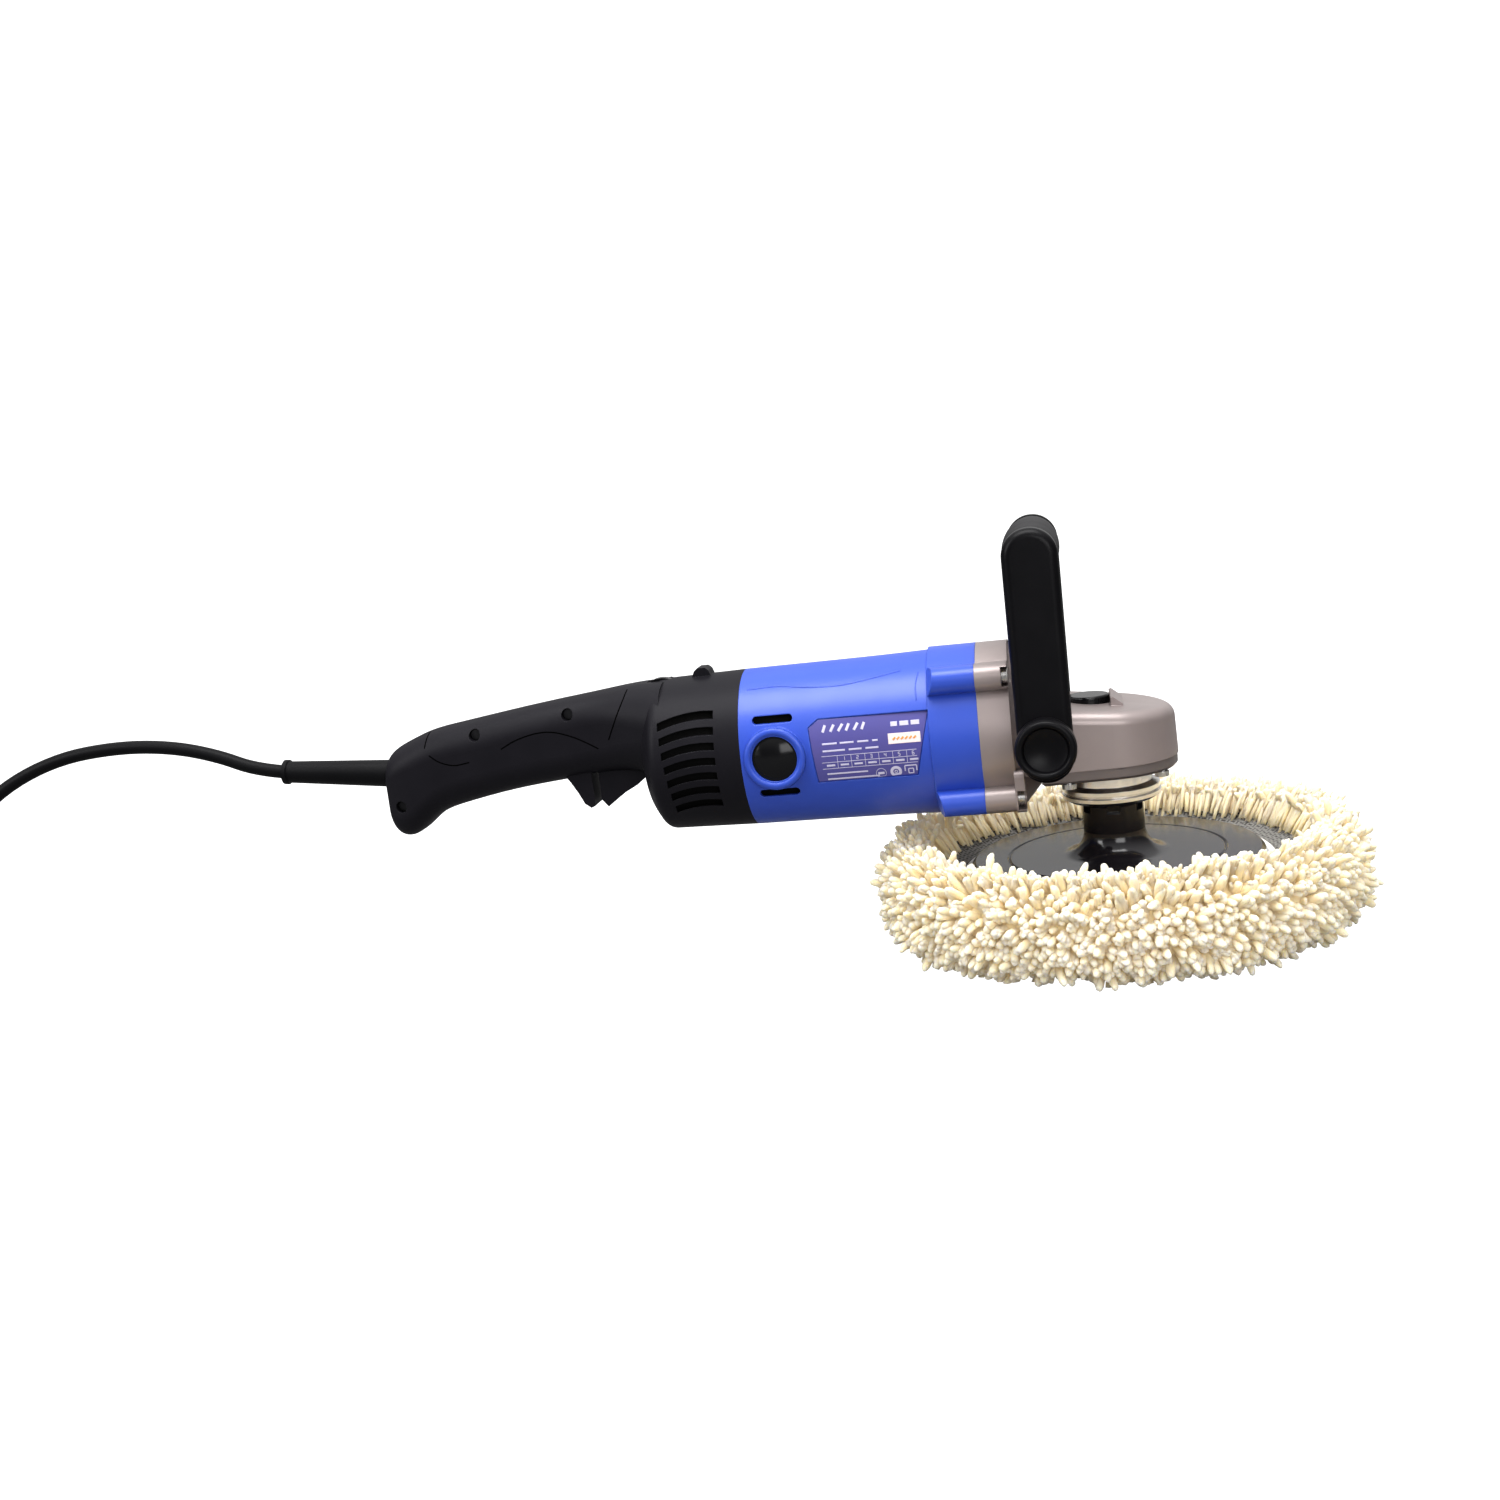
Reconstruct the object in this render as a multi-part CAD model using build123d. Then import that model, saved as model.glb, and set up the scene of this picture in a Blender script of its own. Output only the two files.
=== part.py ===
"""A rotary polisher: right-angle gear head, universal motor, rear handle, loop handle and wool pad.

Millimetres. +Z points up along the spindle, +X from the rear handle to the nose, and the origin is on the
spindle's axis at the wool pad's working face.
"""
from build123d import *
import math
import os

os.makedirs("parts", exist_ok=True)

# --- driving dimensions -------------------------------------------------------------------------------

running = 0.04            # radial clearance of a shaft in its bearing
gap = 0.3                 # clearance between pieces that move past each other
fit = 0.1                 # clearance between pieces that are assembled and stay still

motor_z = 113.5           # height of the motor's axis over the working face
plate_z = 38.5            # height of the backing plate's upper face

# pad and backing plate
pad_radius = 131.0
pad_face_radius = 114.0
pad_height = 52.0
pad_lip_radius = 107.0
plate_radius = 79.0
plate_thick = 6.5
plate_groove_radius = 58.5
hook_thick = 1.5
backing_thick = 1.6
backing_rim_radius = 112.0
backing_rim_z = 43.0
hub_radius = 16.5
hub_top_z = 67.2
hub_flare_radius = 30.0
insert_radius = 11.5

# spindle and bevel gears
thread_radius = 7.0
spindle_end_z = 46.0
bearing_bore = 7.5
bearing_outer = 17.5
bearing_thick = 11.0
bearing_z = 74.5
spindle_stub_radius = 5.0
spindle_top_z = 116.0
gear_teeth = 41
pinion_teeth = 10
gear_pitch_radius = 29.2
gear_face = 7.0
tooth_addendum = 1.1
tooth_dedendum = 1.6
tooth_share = 0.33        # of the tooth pitch that a tooth takes up at the pitch line
gear_web_z = 95.0
gear_web_top_z = 100.5

# gear head
head_radius = 37.0
head_back_x = -50.0
head_half_width = 41.0
head_wall = 4.0
seam_z = 92.0
head_top_z = 122.0
head_round = 7.0
head_slope = 6.0          # degrees that the top falls towards the nose
cover_thick = 6.5
cover_back_x = -36.0
collar_neck_radius = 22.0
collar_lip_radius = 26.6
collar_bottom_z = 68.6
flange_front_x = -49.0
flange_back_x = -66.0
front_radius = 46.6       # round part of the joint between gear head and motor housing
corner_inner = 26.0       # the corner blocks start this far from the motor's axis
corner_out_y = 45.5
corner_out_z = 40.0
corner_round = 8.0
corner_screw_y = 37.0
corner_screw_z = 33.0
corner_screw_radius = 2.5
lobe_depth = 4.2
cover_screw_radius = 2.0

# motor housing
motor_back_x = -194.5
motor_back_radius = 43.8
housing_wall = 3.0
corner_block_x = -92.0
corner_ramp = 8.0
brush_x = -175.7
cap_radius = 12.2
cap_ring_radius = 16.8
slot_length = 22.0
slot_height = 4.2
slot_offset = 20.0
plate_sheet = 0.5

# motor
core_x0, core_x1 = -158.0, -110.0
stator_radius = 40.5
armature_radius = 23.0
air_gap = 0.6
shaft_radius = 6.0
commutator_radius = 14.0
commutator_x0, commutator_x1 = -187.0, -166.0
fan_x0, fan_x1 = -97.0, -83.0
fan_radius = 38.0
rear_bearing_x0 = -204.0

# rear shells
drum_radius = 42.8
drum_back_x = -255.0
shell_wall = 2.6
drum_top_z = 155.6
shell_screw_places = [(-402.0, 98.0), (-352.0, 136.0), (-296.0, 143.0)]
screw_head_y = 11.0
vent_count = 7
vent_pitch = 8.1
vent_height = 4.2
vent_x0, vent_x1 = -240.0, -208.5
vent_top_z = 140.8

# trigger and controls
trigger_pivot = (-259.5, 110.0)
trigger_half_width = 8.5
dial_x = -243.0
dial_radius = 13.0
dial_thick = 5.0
dial_stand = 1.6          # how far the dial stands out of the shell
switch_half_width = 9.0
lock_on_x, lock_on_z = -291.0, 124.0
lock_on_radius = 5.0
lock_on_travel = 1.5
button_x = -8.5
button_radius = 11.5
button_top_z = 126.5
button_thick = 4.0
button_travel = 4.0
pin_x = -14.5            # the lock pin stands off the button's middle, clear of the spindle
pin_radius = 3.0

# loop handle
loop_x = -32.0
loop_pivot_z = 111.0
loop_top_z = 223.0
loop_arm_width = 28.7
loop_arm_inner = 51.0
loop_arm_outer = 61.5
loop_end_drop = 19.5
loop_grip_radius = 15.2
knob_radius = 15.8
knob_outer = 70.5
bolt_radius = 5.0

# cord
cord_radius = 4.0
guard_start = (-409.0, 115.2)
guard_end = (-478.0, 121.6)
guard_root_radius = 8.0
guard_tip_radius = 6.4
coil_centre = (-806.0, -78.0)
coil_mean_radius = 45.0
coil_across = 26.0
coil_tall = 24.0
tie_thick = 1.0
plug_x0 = -757.0
plug_length = 52.0
plug_wide = 34.0
plug_tall = 24.0
plug_corner = 5.0
plug_pin_radius = 2.4
plug_pin_length = 19.0
plug_pin_spacing = 19.0
plug_turn = -5.0            # degrees the plug is turned about its cord end, so its pins point past the pad


# --- values that follow from them ---------------------------------------------------------------------

pinion_pitch_radius = gear_pitch_radius * pinion_teeth / gear_teeth
cover_z = seam_z - cover_thick
plate_under_z = plate_z - plate_thick
hook_under_z = plate_under_z - hook_thick
backing_under_z = hook_under_z - backing_thick
pinion_end_x = -gear_pitch_radius * (1 - gear_face / math.hypot(
    gear_pitch_radius, gear_pitch_radius * pinion_teeth / gear_teeth))
chamber_top_z = motor_z - 3.5
spring_floor_z = chamber_top_z + 2.5
button_floor_z = button_top_z - button_thick - button_travel - gap
loop_bar_z = loop_top_z - loop_arm_width / 2
motor_axis = Axis((0, 0, motor_z), (1, 0, 0))
plate_floor_radius = motor_back_radius - 0.4
dial_z = drum_top_z + dial_stand - dial_radius

parts = {}


# --- helpers ------------------------------------------------------------------------------------------

def bar(radius, start, end):
    """A round bar from one point to another."""
    line = Vector(*end) - Vector(*start)
    upright = Cylinder(radius, line.length, align=(Align.CENTER, Align.CENTER, Align.MIN))
    return Plane(origin=start, z_dir=line) * upright


def pipe(outer, inner, start, end):
    """A round tube from one point to another."""
    return bar(outer, start, end) - bar(inner, start, end)


def along_x(radius, x0, x1):
    """A round bar on the motor's axis."""
    return bar(radius, (x0, 0, motor_z), (x1, 0, motor_z))


def ring_x(outer, inner, x0, x1):
    """A ring on the motor's axis."""
    return along_x(outer, x0, x1) - along_x(inner, x0, x1)


def upright(radius, z0, z1, x=0, y=0):
    """A round bar parallel to the spindle."""
    return bar(radius, (x, y, z0), (x, y, z1))


def ring_z(outer, inner, z0, z1):
    """A ring on the spindle's axis."""
    return upright(outer, z0, z1) - upright(inner, z0, z1)


def block(x0, x1, y0, y1, z0, z1):
    """A box between two corners."""
    size = (x1 - x0, y1 - y0, z1 - z0)
    return Pos((x0 + x1) / 2, (y0 + y1) / 2, (z0 + z1) / 2) * Box(*size)


def turned(*points):
    """A solid turned about the spindle's axis from an outline of radius and height."""
    outline = make_face(Polyline(*[(r, 0, z) for r, z in points], close=True))
    return revolve(outline, Axis.Z)


def turned_x(edges):
    """A solid turned about the motor's axis from the edges of a closed outline in the XZ plane."""
    return revolve(make_face(edges), motor_axis)


def across(sketch, x0, x1):
    """A sketch of Y and Z about the motor's axis, drawn out along X."""
    start = Plane(origin=(x0, 0, motor_z), x_dir=(0, 1, 0), z_dir=(1, 0, 0))
    return extrude(start * sketch, x1 - x0)


def side(sketch, y0, y1):
    """A sketch of X and Z, drawn out along Y."""
    start = Plane(origin=(0, y0, 0), x_dir=(1, 0, 0), z_dir=(0, -1, 0))
    return extrude(start * sketch, y0 - y1)


def mirrored(solid):
    """The same solid on the other side of the machine."""
    return mirror(solid, Plane.XZ)


# --- gear head ----------------------------------------------------------------------------------------

def head_plan(inset=0.0, back=0.0):
    """The gear head seen from above: a round nose about the spindle and sides that widen to the back."""
    radius, half = head_radius - inset, head_half_width - inset
    back_x = back or head_back_x
    reach = math.hypot(head_back_x, half)
    touch = math.atan2(half, head_back_x) - math.acos(radius / reach)
    tx, ty = radius * math.cos(touch), radius * math.sin(touch)
    back_y = ty + (half - ty) * (tx - back_x) / (tx - head_back_x)
    nose = ThreePointArc((tx, -ty), (radius, 0), (tx, ty))
    tail = Polyline((tx, ty), (back_x, back_y), (back_x, -back_y), (tx, -ty))
    return make_face(nose + tail)


def front_outline(inset=0.0):
    """The joint of motor housing and gear head: a circle with four corner blocks."""
    outline = Circle(front_radius - inset)
    wide = corner_out_y - inset - corner_inner
    tall = corner_out_z - inset - corner_inner
    round_off = min(corner_round, tall / 2 - 0.5)
    for y in (-1, 1):
        for z in (-1, 1):
            middle = Pos(y * (corner_inner + wide / 2), z * (corner_inner + tall / 2))
            outline += middle * RectangleRounded(wide, tall, round_off)
            inner_y = y * (corner_inner + (wide - round_off) / 2)
            inner_z = z * (corner_inner + (tall - round_off) / 2)
            outline += Pos(inner_y, inner_z) * Rectangle(wide - round_off, tall - round_off)
    return outline


def corner_screws():
    """The four places of the flange screws, as Y and Z from the motor's axis."""
    ys, zs = (-corner_screw_y, corner_screw_y), (-corner_screw_z, corner_screw_z)
    return [(y, z) for y in ys for z in zs]


def gear_housing():
    """The cast gear housing with its flange, cone, head and handle bosses."""
    flange = across(front_outline(), flange_back_x, flange_front_x)
    cone_edges = Polyline(
        (flange_front_x - 1, 0, motor_z),
        (flange_front_x - 1, 0, motor_z + 45),
        (flange_front_x + 3, 0, motor_z + 44),
        (-19, 0, motor_z + 13),
        (-19, 0, motor_z),
        close=True,
    )
    cone = turned_x(cone_edges) - block(-37, 0, -60, 60, 0, seam_z)
    head = Pos(0, 0, seam_z) * extrude(head_plan(), head_top_z + 8 - seam_z, taper=1.5)
    lid = Pos(0, 0, head_top_z) * Rot(0, head_slope, 0) * Pos(0, 0, 25) * Box(150, 120, 50)
    head -= lid
    top_edges = head.faces().sort_by(Axis.Z)[-1].edges()
    rim = [edge for edge in top_edges if edge.center().X > head_back_x + 1]
    head = fillet(rim, head_round)
    foot = button_x + button_radius
    ridge_outline = Polyline(
        (foot, head_top_z - 4), (foot, button_top_z - 0.6), (foot + 1.2, button_top_z),
        (foot + 6.5, head_top_z + 0.2), (foot + 6.5, head_top_z - 4), close=True)
    ridge = side(make_face(ridge_outline), -15, 15)
    solid = flange + cone + head + ridge
    for y in (-1, 1):
        solid += bar(14, (loop_x, y * 30, loop_pivot_z), (loop_x, y * (loop_arm_inner - gap), loop_pivot_z))
    for y, z in corner_screws():
        out, up = math.copysign(1, y), math.copysign(1, z)
        if up < 0:
            lobe_y = sorted((out * 31, out * corner_out_y))
            lobe = block(flange_front_x - 1, flange_front_x + lobe_depth, *lobe_y,
                         motor_z - corner_out_z, motor_z - 17)
            solid += fillet(lobe.edges().filter_by(Axis.X), 4)
    # gear chamber, open at the seam, and the channel of the pinion
    solid -= upright(head_radius - head_wall, seam_z - 1, chamber_top_z)
    solid -= along_x(11.5, -56, pinion_end_x + 0.5)
    solid -= upright(8.0, chamber_top_z - 1, spindle_top_z + 0.6)
    # seat of the front motor bearing, and the hollow behind it
    solid -= along_x(16.0, -64, -54)
    solid -= along_x(24.0, flange_back_x - 1, -63.9)
    # spindle lock: sunk seat of the button, the spring's pocket and the pin's hole
    solid -= upright(button_radius + gap, button_floor_z, head_top_z + 30, x=button_x)
    solid -= upright(5.0, spring_floor_z, head_top_z, x=pin_x)
    solid -= upright(pin_radius + gap, chamber_top_z - 1, head_top_z, x=pin_x)
    # handle bolts and flange screws
    for y in (-1, 1):
        ends = (loop_x, y * 34, loop_pivot_z), (loop_x, y * 60, loop_pivot_z)
        solid -= bar(bolt_radius + running, *ends)
    for y, z in corner_screws():
        out, up = math.copysign(1, y), math.copysign(1, z)
        solid -= bar(corner_screw_radius, (-70, y, motor_z + z), (-30, y, motor_z + z))
        front = flange_front_x - (3.2 if up > 0 else 0)
        solid -= bar(5.2, (front, y, motor_z + z), (front + 12, y, motor_z + z))
        solid -= block(front, front + 4.4, *sorted((y, y + out * 14)), motor_z + z - 5.2, motor_z + z + 5.2)
    for x, y in cover_screws():
        solid -= upright(cover_screw_radius, seam_z - 1, seam_z + 11, x=x, y=y)
    return solid


def cover_screws():
    """The four places of the gear cover's screws."""
    reach = head_radius - 3.4
    turn = math.radians(38)
    front = (reach * math.cos(turn), reach * math.sin(turn))
    back = (-22.0, head_half_width - 5.5)
    return [(front[0], front[1]), (front[0], -front[1]), (back[0], back[1]), (back[0], -back[1])]


def gear_cover():
    """The lower cover of the gear chamber, with a register for the collar."""
    plate = Pos(0, 0, cover_z) * extrude(head_plan(0.6, cover_back_x), cover_thick)
    plate = chamfer(plate.faces().sort_by(Axis.Z)[0].edges(), 1.5)
    plate -= upright(bearing_outer + 1.5, cover_z - 1, seam_z + 1)
    for x, y in cover_screws():
        plate -= upright(cover_screw_radius, cover_z - 1, seam_z + 1, x=x, y=y)
    notch = Pos(7, -head_radius, seam_z) * Box(8, 3, 1.6)
    return plate - notch


def spindle_collar():
    """The turned collar that holds the spindle's lower bearing."""
    lip, neck = collar_lip_radius, collar_neck_radius
    low, seat = collar_bottom_z, bearing_outer
    body = turned(
        (10, low), (lip - 3.6, low), (lip, low + 2.2), (lip, low + 4.2), (lip - 1.6, low + 4.6),
        (lip - 1.6, low + 5.2), (lip - 0.4, low + 5.6), (lip - 0.4, low + 8), (neck + 1.4, low + 9),
        (neck, low + 9.6), (neck, cover_z), (seat + 1.4, cover_z), (seat + 1.4, seam_z - 2),
        (seat, seam_z - 2), (seat, bearing_z), (12, bearing_z), (12, bearing_z - 3.4),
        (10, bearing_z - 3.4),
    )
    return body


parts["gear_housing"] = gear_housing()
parts["gear_cover"] = gear_cover()
parts["spindle_collar"] = spindle_collar()
parts["dust_seal"] = ring_z(12, 8.5 + running, bearing_z - 3.4, bearing_z - 0.2)
parts["spindle_bearing"] = ring_z(bearing_outer, bearing_bore + running, bearing_z, bearing_z + bearing_thick)
parts["spindle_bush"] = ring_z(8.0, spindle_stub_radius + running, chamber_top_z, spindle_top_z)
parts["front_bearing"] = ring_x(16.0, shaft_radius + running, -64, -54)
parts["bearing_plate"] = ring_x(23.8, shaft_radius + 2, -66, -64)


def pan_screws(places, radius, cap, start, end, head, direction):
    """Screws in a row: each place holds the start of the shank and of the head, along one direction."""
    screws = None
    for place in places:
        base = Vector(*place)
        way = Vector(*direction)
        shank = bar(radius, base + way * start, base + way * end)
        top = bar(cap, base + way * end, base + way * (end + head))
        top -= bar(cap * 0.45, base + way * (end + head * 0.4), base + way * (end + head + 1))
        screw = shank + top
        screws = screw if screws is None else screws + screw
    return screws


parts["flange_screws"] = pan_screws(
    [(flange_front_x - (3.2 if z > 0 else 0), y, motor_z + z) for y, z in corner_screws()],
    corner_screw_radius, 4.6, -27, 0, 3.4, (1, 0, 0))
parts["cover_screws"] = pan_screws(
    [(x, y, cover_z) for x, y in cover_screws()], cover_screw_radius, 3.8, -15, 0, 2.6, (0, 0, -1))


# --- bevel gears, spindle and armature ----------------------------------------------------------------

def bevel_tooth(outward, normal, tangent):
    """A straight bevel tooth on a pitch line that starts at the point where the two axes cross."""
    cone = math.hypot(gear_pitch_radius, pinion_pitch_radius)
    half = 2 * math.pi * gear_pitch_radius / gear_teeth * tooth_share / 2
    apex = Vector(0, 0, motor_z)
    rings = []
    for length in (cone, cone - gear_face):
        scale = length / cone
        foot, tip = -tooth_dedendum * scale - 0.4, tooth_addendum * scale
        corners = []
        for high, wide in ((foot, 1.35), (tip, 0.6), (tip, -0.6), (foot, -1.35)):
            point = apex + outward * length + normal * high + tangent * (half * wide * scale)
            corners.append(point)
        rings.append(make_face(Polyline(*corners, close=True)))
    return loft(rings)


def pitch_frame():
    """Directions at the mesh: out along the pitch line, up away from the crown gear, and sideways."""
    cone = math.hypot(gear_pitch_radius, pinion_pitch_radius)
    outward = Vector(-gear_pitch_radius / cone, 0, -pinion_pitch_radius / cone)
    normal = Vector(-pinion_pitch_radius / cone, 0, gear_pitch_radius / cone)
    return cone, outward, normal, Vector(0, 1, 0)


def crown_gear():
    """The crown gear, its teeth half a pitch round from the mesh line."""
    cone, outward, normal, tangent = pitch_frame()
    root_out = Vector(0, 0, motor_z) + outward * cone - normal * tooth_dedendum
    root_in = Vector(0, 0, motor_z) + outward * (cone - gear_face) - normal * (
        tooth_dedendum * (cone - gear_face) / cone)
    rim = -root_out.X
    blank = turned(
        (thread_radius, gear_web_z), (rim - 3, gear_web_z), (rim, gear_web_z + 3), (rim, root_out.Z),
        (-root_in.X, root_in.Z), (-root_in.X - 2, gear_web_top_z), (thread_radius, gear_web_top_z),
    )
    for turn in range(4):
        hole = upright(pin_radius + 0.8, gear_web_z - 1, gear_web_top_z + 1, x=pin_x)
        blank -= Rot(0, 0, 90 * turn) * hole
    tooth = bevel_tooth(outward, normal, tangent)
    step = 360 / gear_teeth
    teeth = [Rot(0, 0, step * (turn + 0.5)) * tooth for turn in range(gear_teeth)]
    return blank.fuse(*teeth)


def pinion():
    """The pinion, one of its teeth on the mesh line."""
    cone, outward, normal, tangent = pitch_frame()
    out_radius = pinion_pitch_radius - tooth_dedendum
    in_radius = out_radius * (cone - gear_face) / cone
    x_out = -gear_pitch_radius
    x_in = -gear_pitch_radius * (cone - gear_face) / cone
    edges = Polyline(
        (x_out - 3, 0, motor_z), (x_out - 3, 0, motor_z + out_radius + 1),
        (x_out, 0, motor_z + out_radius), (x_in, 0, motor_z + in_radius), (x_in, 0, motor_z),
        close=True,
    )
    blank = turned_x(edges) - along_x(3, x_out - 4, x_in + 1)
    tooth = bevel_tooth(outward, normal * -1, tangent)
    step = 360 / pinion_teeth
    centre = Pos(0, 0, motor_z)
    teeth = [centre * Rot(step * turn, 0, 0) * centre.inverse() * tooth for turn in range(pinion_teeth)]
    solid = blank.fuse(*teeth)
    return solid - along_x(3, x_out - 4, x_in + 1)


def armature():
    """The pieces that turn with the motor's shaft."""
    shaft = along_x(4.0, rear_bearing_x0 - 1, commutator_x0 - 4)
    shaft += along_x(shaft_radius, commutator_x0 - 4, -gear_pitch_radius - 8)
    shaft += along_x(4.5, -gear_pitch_radius - 8, -gear_pitch_radius - 3)
    shaft += along_x(3.0, -gear_pitch_radius - 3, pinion_end_x)
    core = ring_x(armature_radius, shaft_radius, core_x0, core_x1)
    slots = 12
    for turn in range(slots):
        slot = block(core_x0 - 1, core_x1 + 1, -1.2, 1.2, motor_z + 17, motor_z + 24)
        core -= Pos(0, 0, motor_z) * Rot(360 / slots * turn, 0, 0) * Pos(0, 0, -motor_z) * slot
    wound = ring_x(20, shaft_radius, core_x0 - 7, core_x0) + ring_x(20, shaft_radius, core_x1, core_x1 + 7)
    segments = ring_x(commutator_radius, shaft_radius, commutator_x0, commutator_x1)
    segments += ring_x(commutator_radius + 1.5, shaft_radius, commutator_x1 - 2, commutator_x1)
    hub = ring_x(11, shaft_radius, fan_x0, fan_x1) + ring_x(fan_radius, shaft_radius, fan_x0, fan_x0 + 2)
    for turn in range(11):
        blade = block(fan_x0 + 1, fan_x1, -0.9, 0.9, motor_z + 10, motor_z + fan_radius - 1)
        blade = Pos(0, 0, motor_z) * Rot(360 / 11 * turn, 0, 0) * Pos(0, 0, -motor_z) * blade
        hub += blade
    return {"armature_shaft": shaft, "armature_core": core, "armature_windings": wound,
            "commutator": segments, "cooling_fan": hub, "pinion": pinion()}


def spindle():
    """The spindle: thread, shoulder, bearing seat, gear seat and top stub."""
    return turned(
        (0, spindle_end_z), (thread_radius - 1, spindle_end_z), (thread_radius, spindle_end_z + 1),
        (thread_radius, 69.5), (8.5, 69.5), (8.5, bearing_z), (bearing_bore, bearing_z),
        (bearing_bore, gear_web_z), (thread_radius, gear_web_z), (thread_radius, gear_web_top_z + 2.5),
        (spindle_stub_radius, gear_web_top_z + 2.5), (spindle_stub_radius, spindle_top_z),
        (0, spindle_top_z),
    )


parts.update(armature())
parts["crown_gear"] = crown_gear()
parts["spindle"] = spindle()
parts["gear_clip"] = ring_z(thread_radius + 1.8, thread_radius, gear_web_top_z, gear_web_top_z + 1.2)


# --- backing plate and pad ----------------------------------------------------------------------------

def backing_plate():
    """The moulded plate and its hub, notched round the top for a spanner."""
    low, flat = plate_under_z, plate_z
    outline = Polyline((0, 0, low), (plate_radius - 2.5, 0, low), (plate_radius, 0, low + 2.5),
                       (plate_radius, 0, flat - 2.0), (plate_radius - 2, 0, flat),
                       (plate_groove_radius + 1, 0, flat), (plate_groove_radius, 0, flat - 0.8),
                       (plate_groove_radius - 1, 0, flat), (hub_flare_radius, 0, flat))
    flare = ThreePointArc((hub_flare_radius, 0, flat), (hub_radius + 4.6, 0, flat + 3.2),
                          (hub_radius, 0, flat + 13))
    stem = Polyline((hub_radius, 0, flat + 13), (hub_radius, 0, hub_top_z - 1),
                    (hub_radius - 1, 0, hub_top_z), (0, 0, hub_top_z), (0, 0, low))
    solid = revolve(make_face(outline + flare + stem), Axis.Z)
    solid -= upright(insert_radius, plate_z + 4, hub_top_z + 1)
    for turn in range(6):
        notch = Pos(hub_radius, 0, hub_top_z) * Box(7, 7, 9)
        solid -= Rot(0, 0, 60 * turn + 30) * notch
    return solid


def pad_backing():
    """The woven backing of the pad, dished up round the plate."""
    rim_r, rim_z = backing_rim_radius, backing_rim_z
    under, over = backing_under_z, hook_under_z
    inner = plate_radius + 3
    flat = Polyline((inner, 0, over), (0, 0, over), (0, 0, under), (inner, 0, under))
    low = Bezier((inner, 0, under), (inner + 20, 0, under), (rim_r + 0.6, 0, rim_z - 12),
                 (rim_r + 1.2, 0, rim_z))
    end = Line((rim_r + 1.2, 0, rim_z), (rim_r - 0.4, 0, rim_z))
    high = Bezier((rim_r - 0.4, 0, rim_z), (rim_r - 1.0, 0, rim_z - 11), (inner + 19.6, 0, over),
                  (inner, 0, over))
    return revolve(make_face(flat + low + end + high), Axis.Z)


def wool_pad():
    """The outer shape of the wool: a deep ring that curls up round the backing."""
    under = backing_under_z
    inner = plate_radius + 3
    rim_r, rim_z = backing_rim_radius, backing_rim_z
    face = Polyline((inner, 0, under), (0, 0, under), (0, 0, 0), (pad_face_radius, 0, 0))
    swell = Spline([(pad_face_radius, 0, 0), (pad_radius - 5, 0, 9), (pad_radius, 0, 26),
                    (pad_radius - 3.5, 0, 44), (pad_radius - 12, 0, pad_height - 4),
                    (pad_lip_radius + 6, 0, pad_height)])
    lip = Spline([(pad_lip_radius + 6, 0, pad_height), (pad_lip_radius, 0, pad_height - 3),
                  (pad_lip_radius + 1.5, 0, rim_z + 4), (rim_r - 0.4, 0, rim_z)])
    edge = Line((rim_r - 0.4, 0, rim_z), (rim_r + 1.2, 0, rim_z))
    low = Bezier((rim_r + 1.2, 0, rim_z), (rim_r + 0.6, 0, rim_z - 12), (inner + 20, 0, under),
                 (inner, 0, under))
    return revolve(make_face(face + swell + lip + edge + low), Axis.Z)


def hub_insert():
    """The threaded steel insert of the hub."""
    return ring_z(insert_radius, thread_radius, plate_z + 4, hub_top_z - 5)


parts["backing_plate"] = backing_plate() - upright(thread_radius + 1, 44, 60)
parts["hub_insert"] = hub_insert()
parts["hook_disc"] = upright(plate_radius - 3, hook_under_z, plate_under_z)
parts["pad_backing"] = pad_backing()
parts["wool_pad"] = wool_pad()


# --- motor housing and the motor's fixed pieces -------------------------------------------------------

def housing_profile(wall):
    """Radius of the motor housing along X, less a wall."""
    back, front = motor_back_radius - wall, front_radius - wall
    x0 = motor_back_x
    swell = Bezier((x0, 0, motor_z + back), (-140, 0, motor_z + back + 0.4), (-96, 0, motor_z + back + 0.4),
                   (flange_back_x, 0, motor_z + front))
    rest = Polyline((flange_back_x, 0, motor_z + front), (flange_back_x, 0, motor_z), (x0, 0, motor_z),
                    (x0, 0, motor_z + back))
    return swell + rest


def plate_outline(inset=0.0):
    """The rating plate seen from the side: a slanted four-sided outline about the motor's axis."""
    low, high = -15.6 + inset, 18.8 - inset
    points = [(-154.0 + inset, low), (-100.0 - inset, low), (-91.6 - inset, high),
              (-151.0 + inset * 0.6, high), (-156.5 + inset * 0.6, high - 4)]
    return make_face(Polyline(*[(x, z + motor_z) for x, z in points], close=True))


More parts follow.
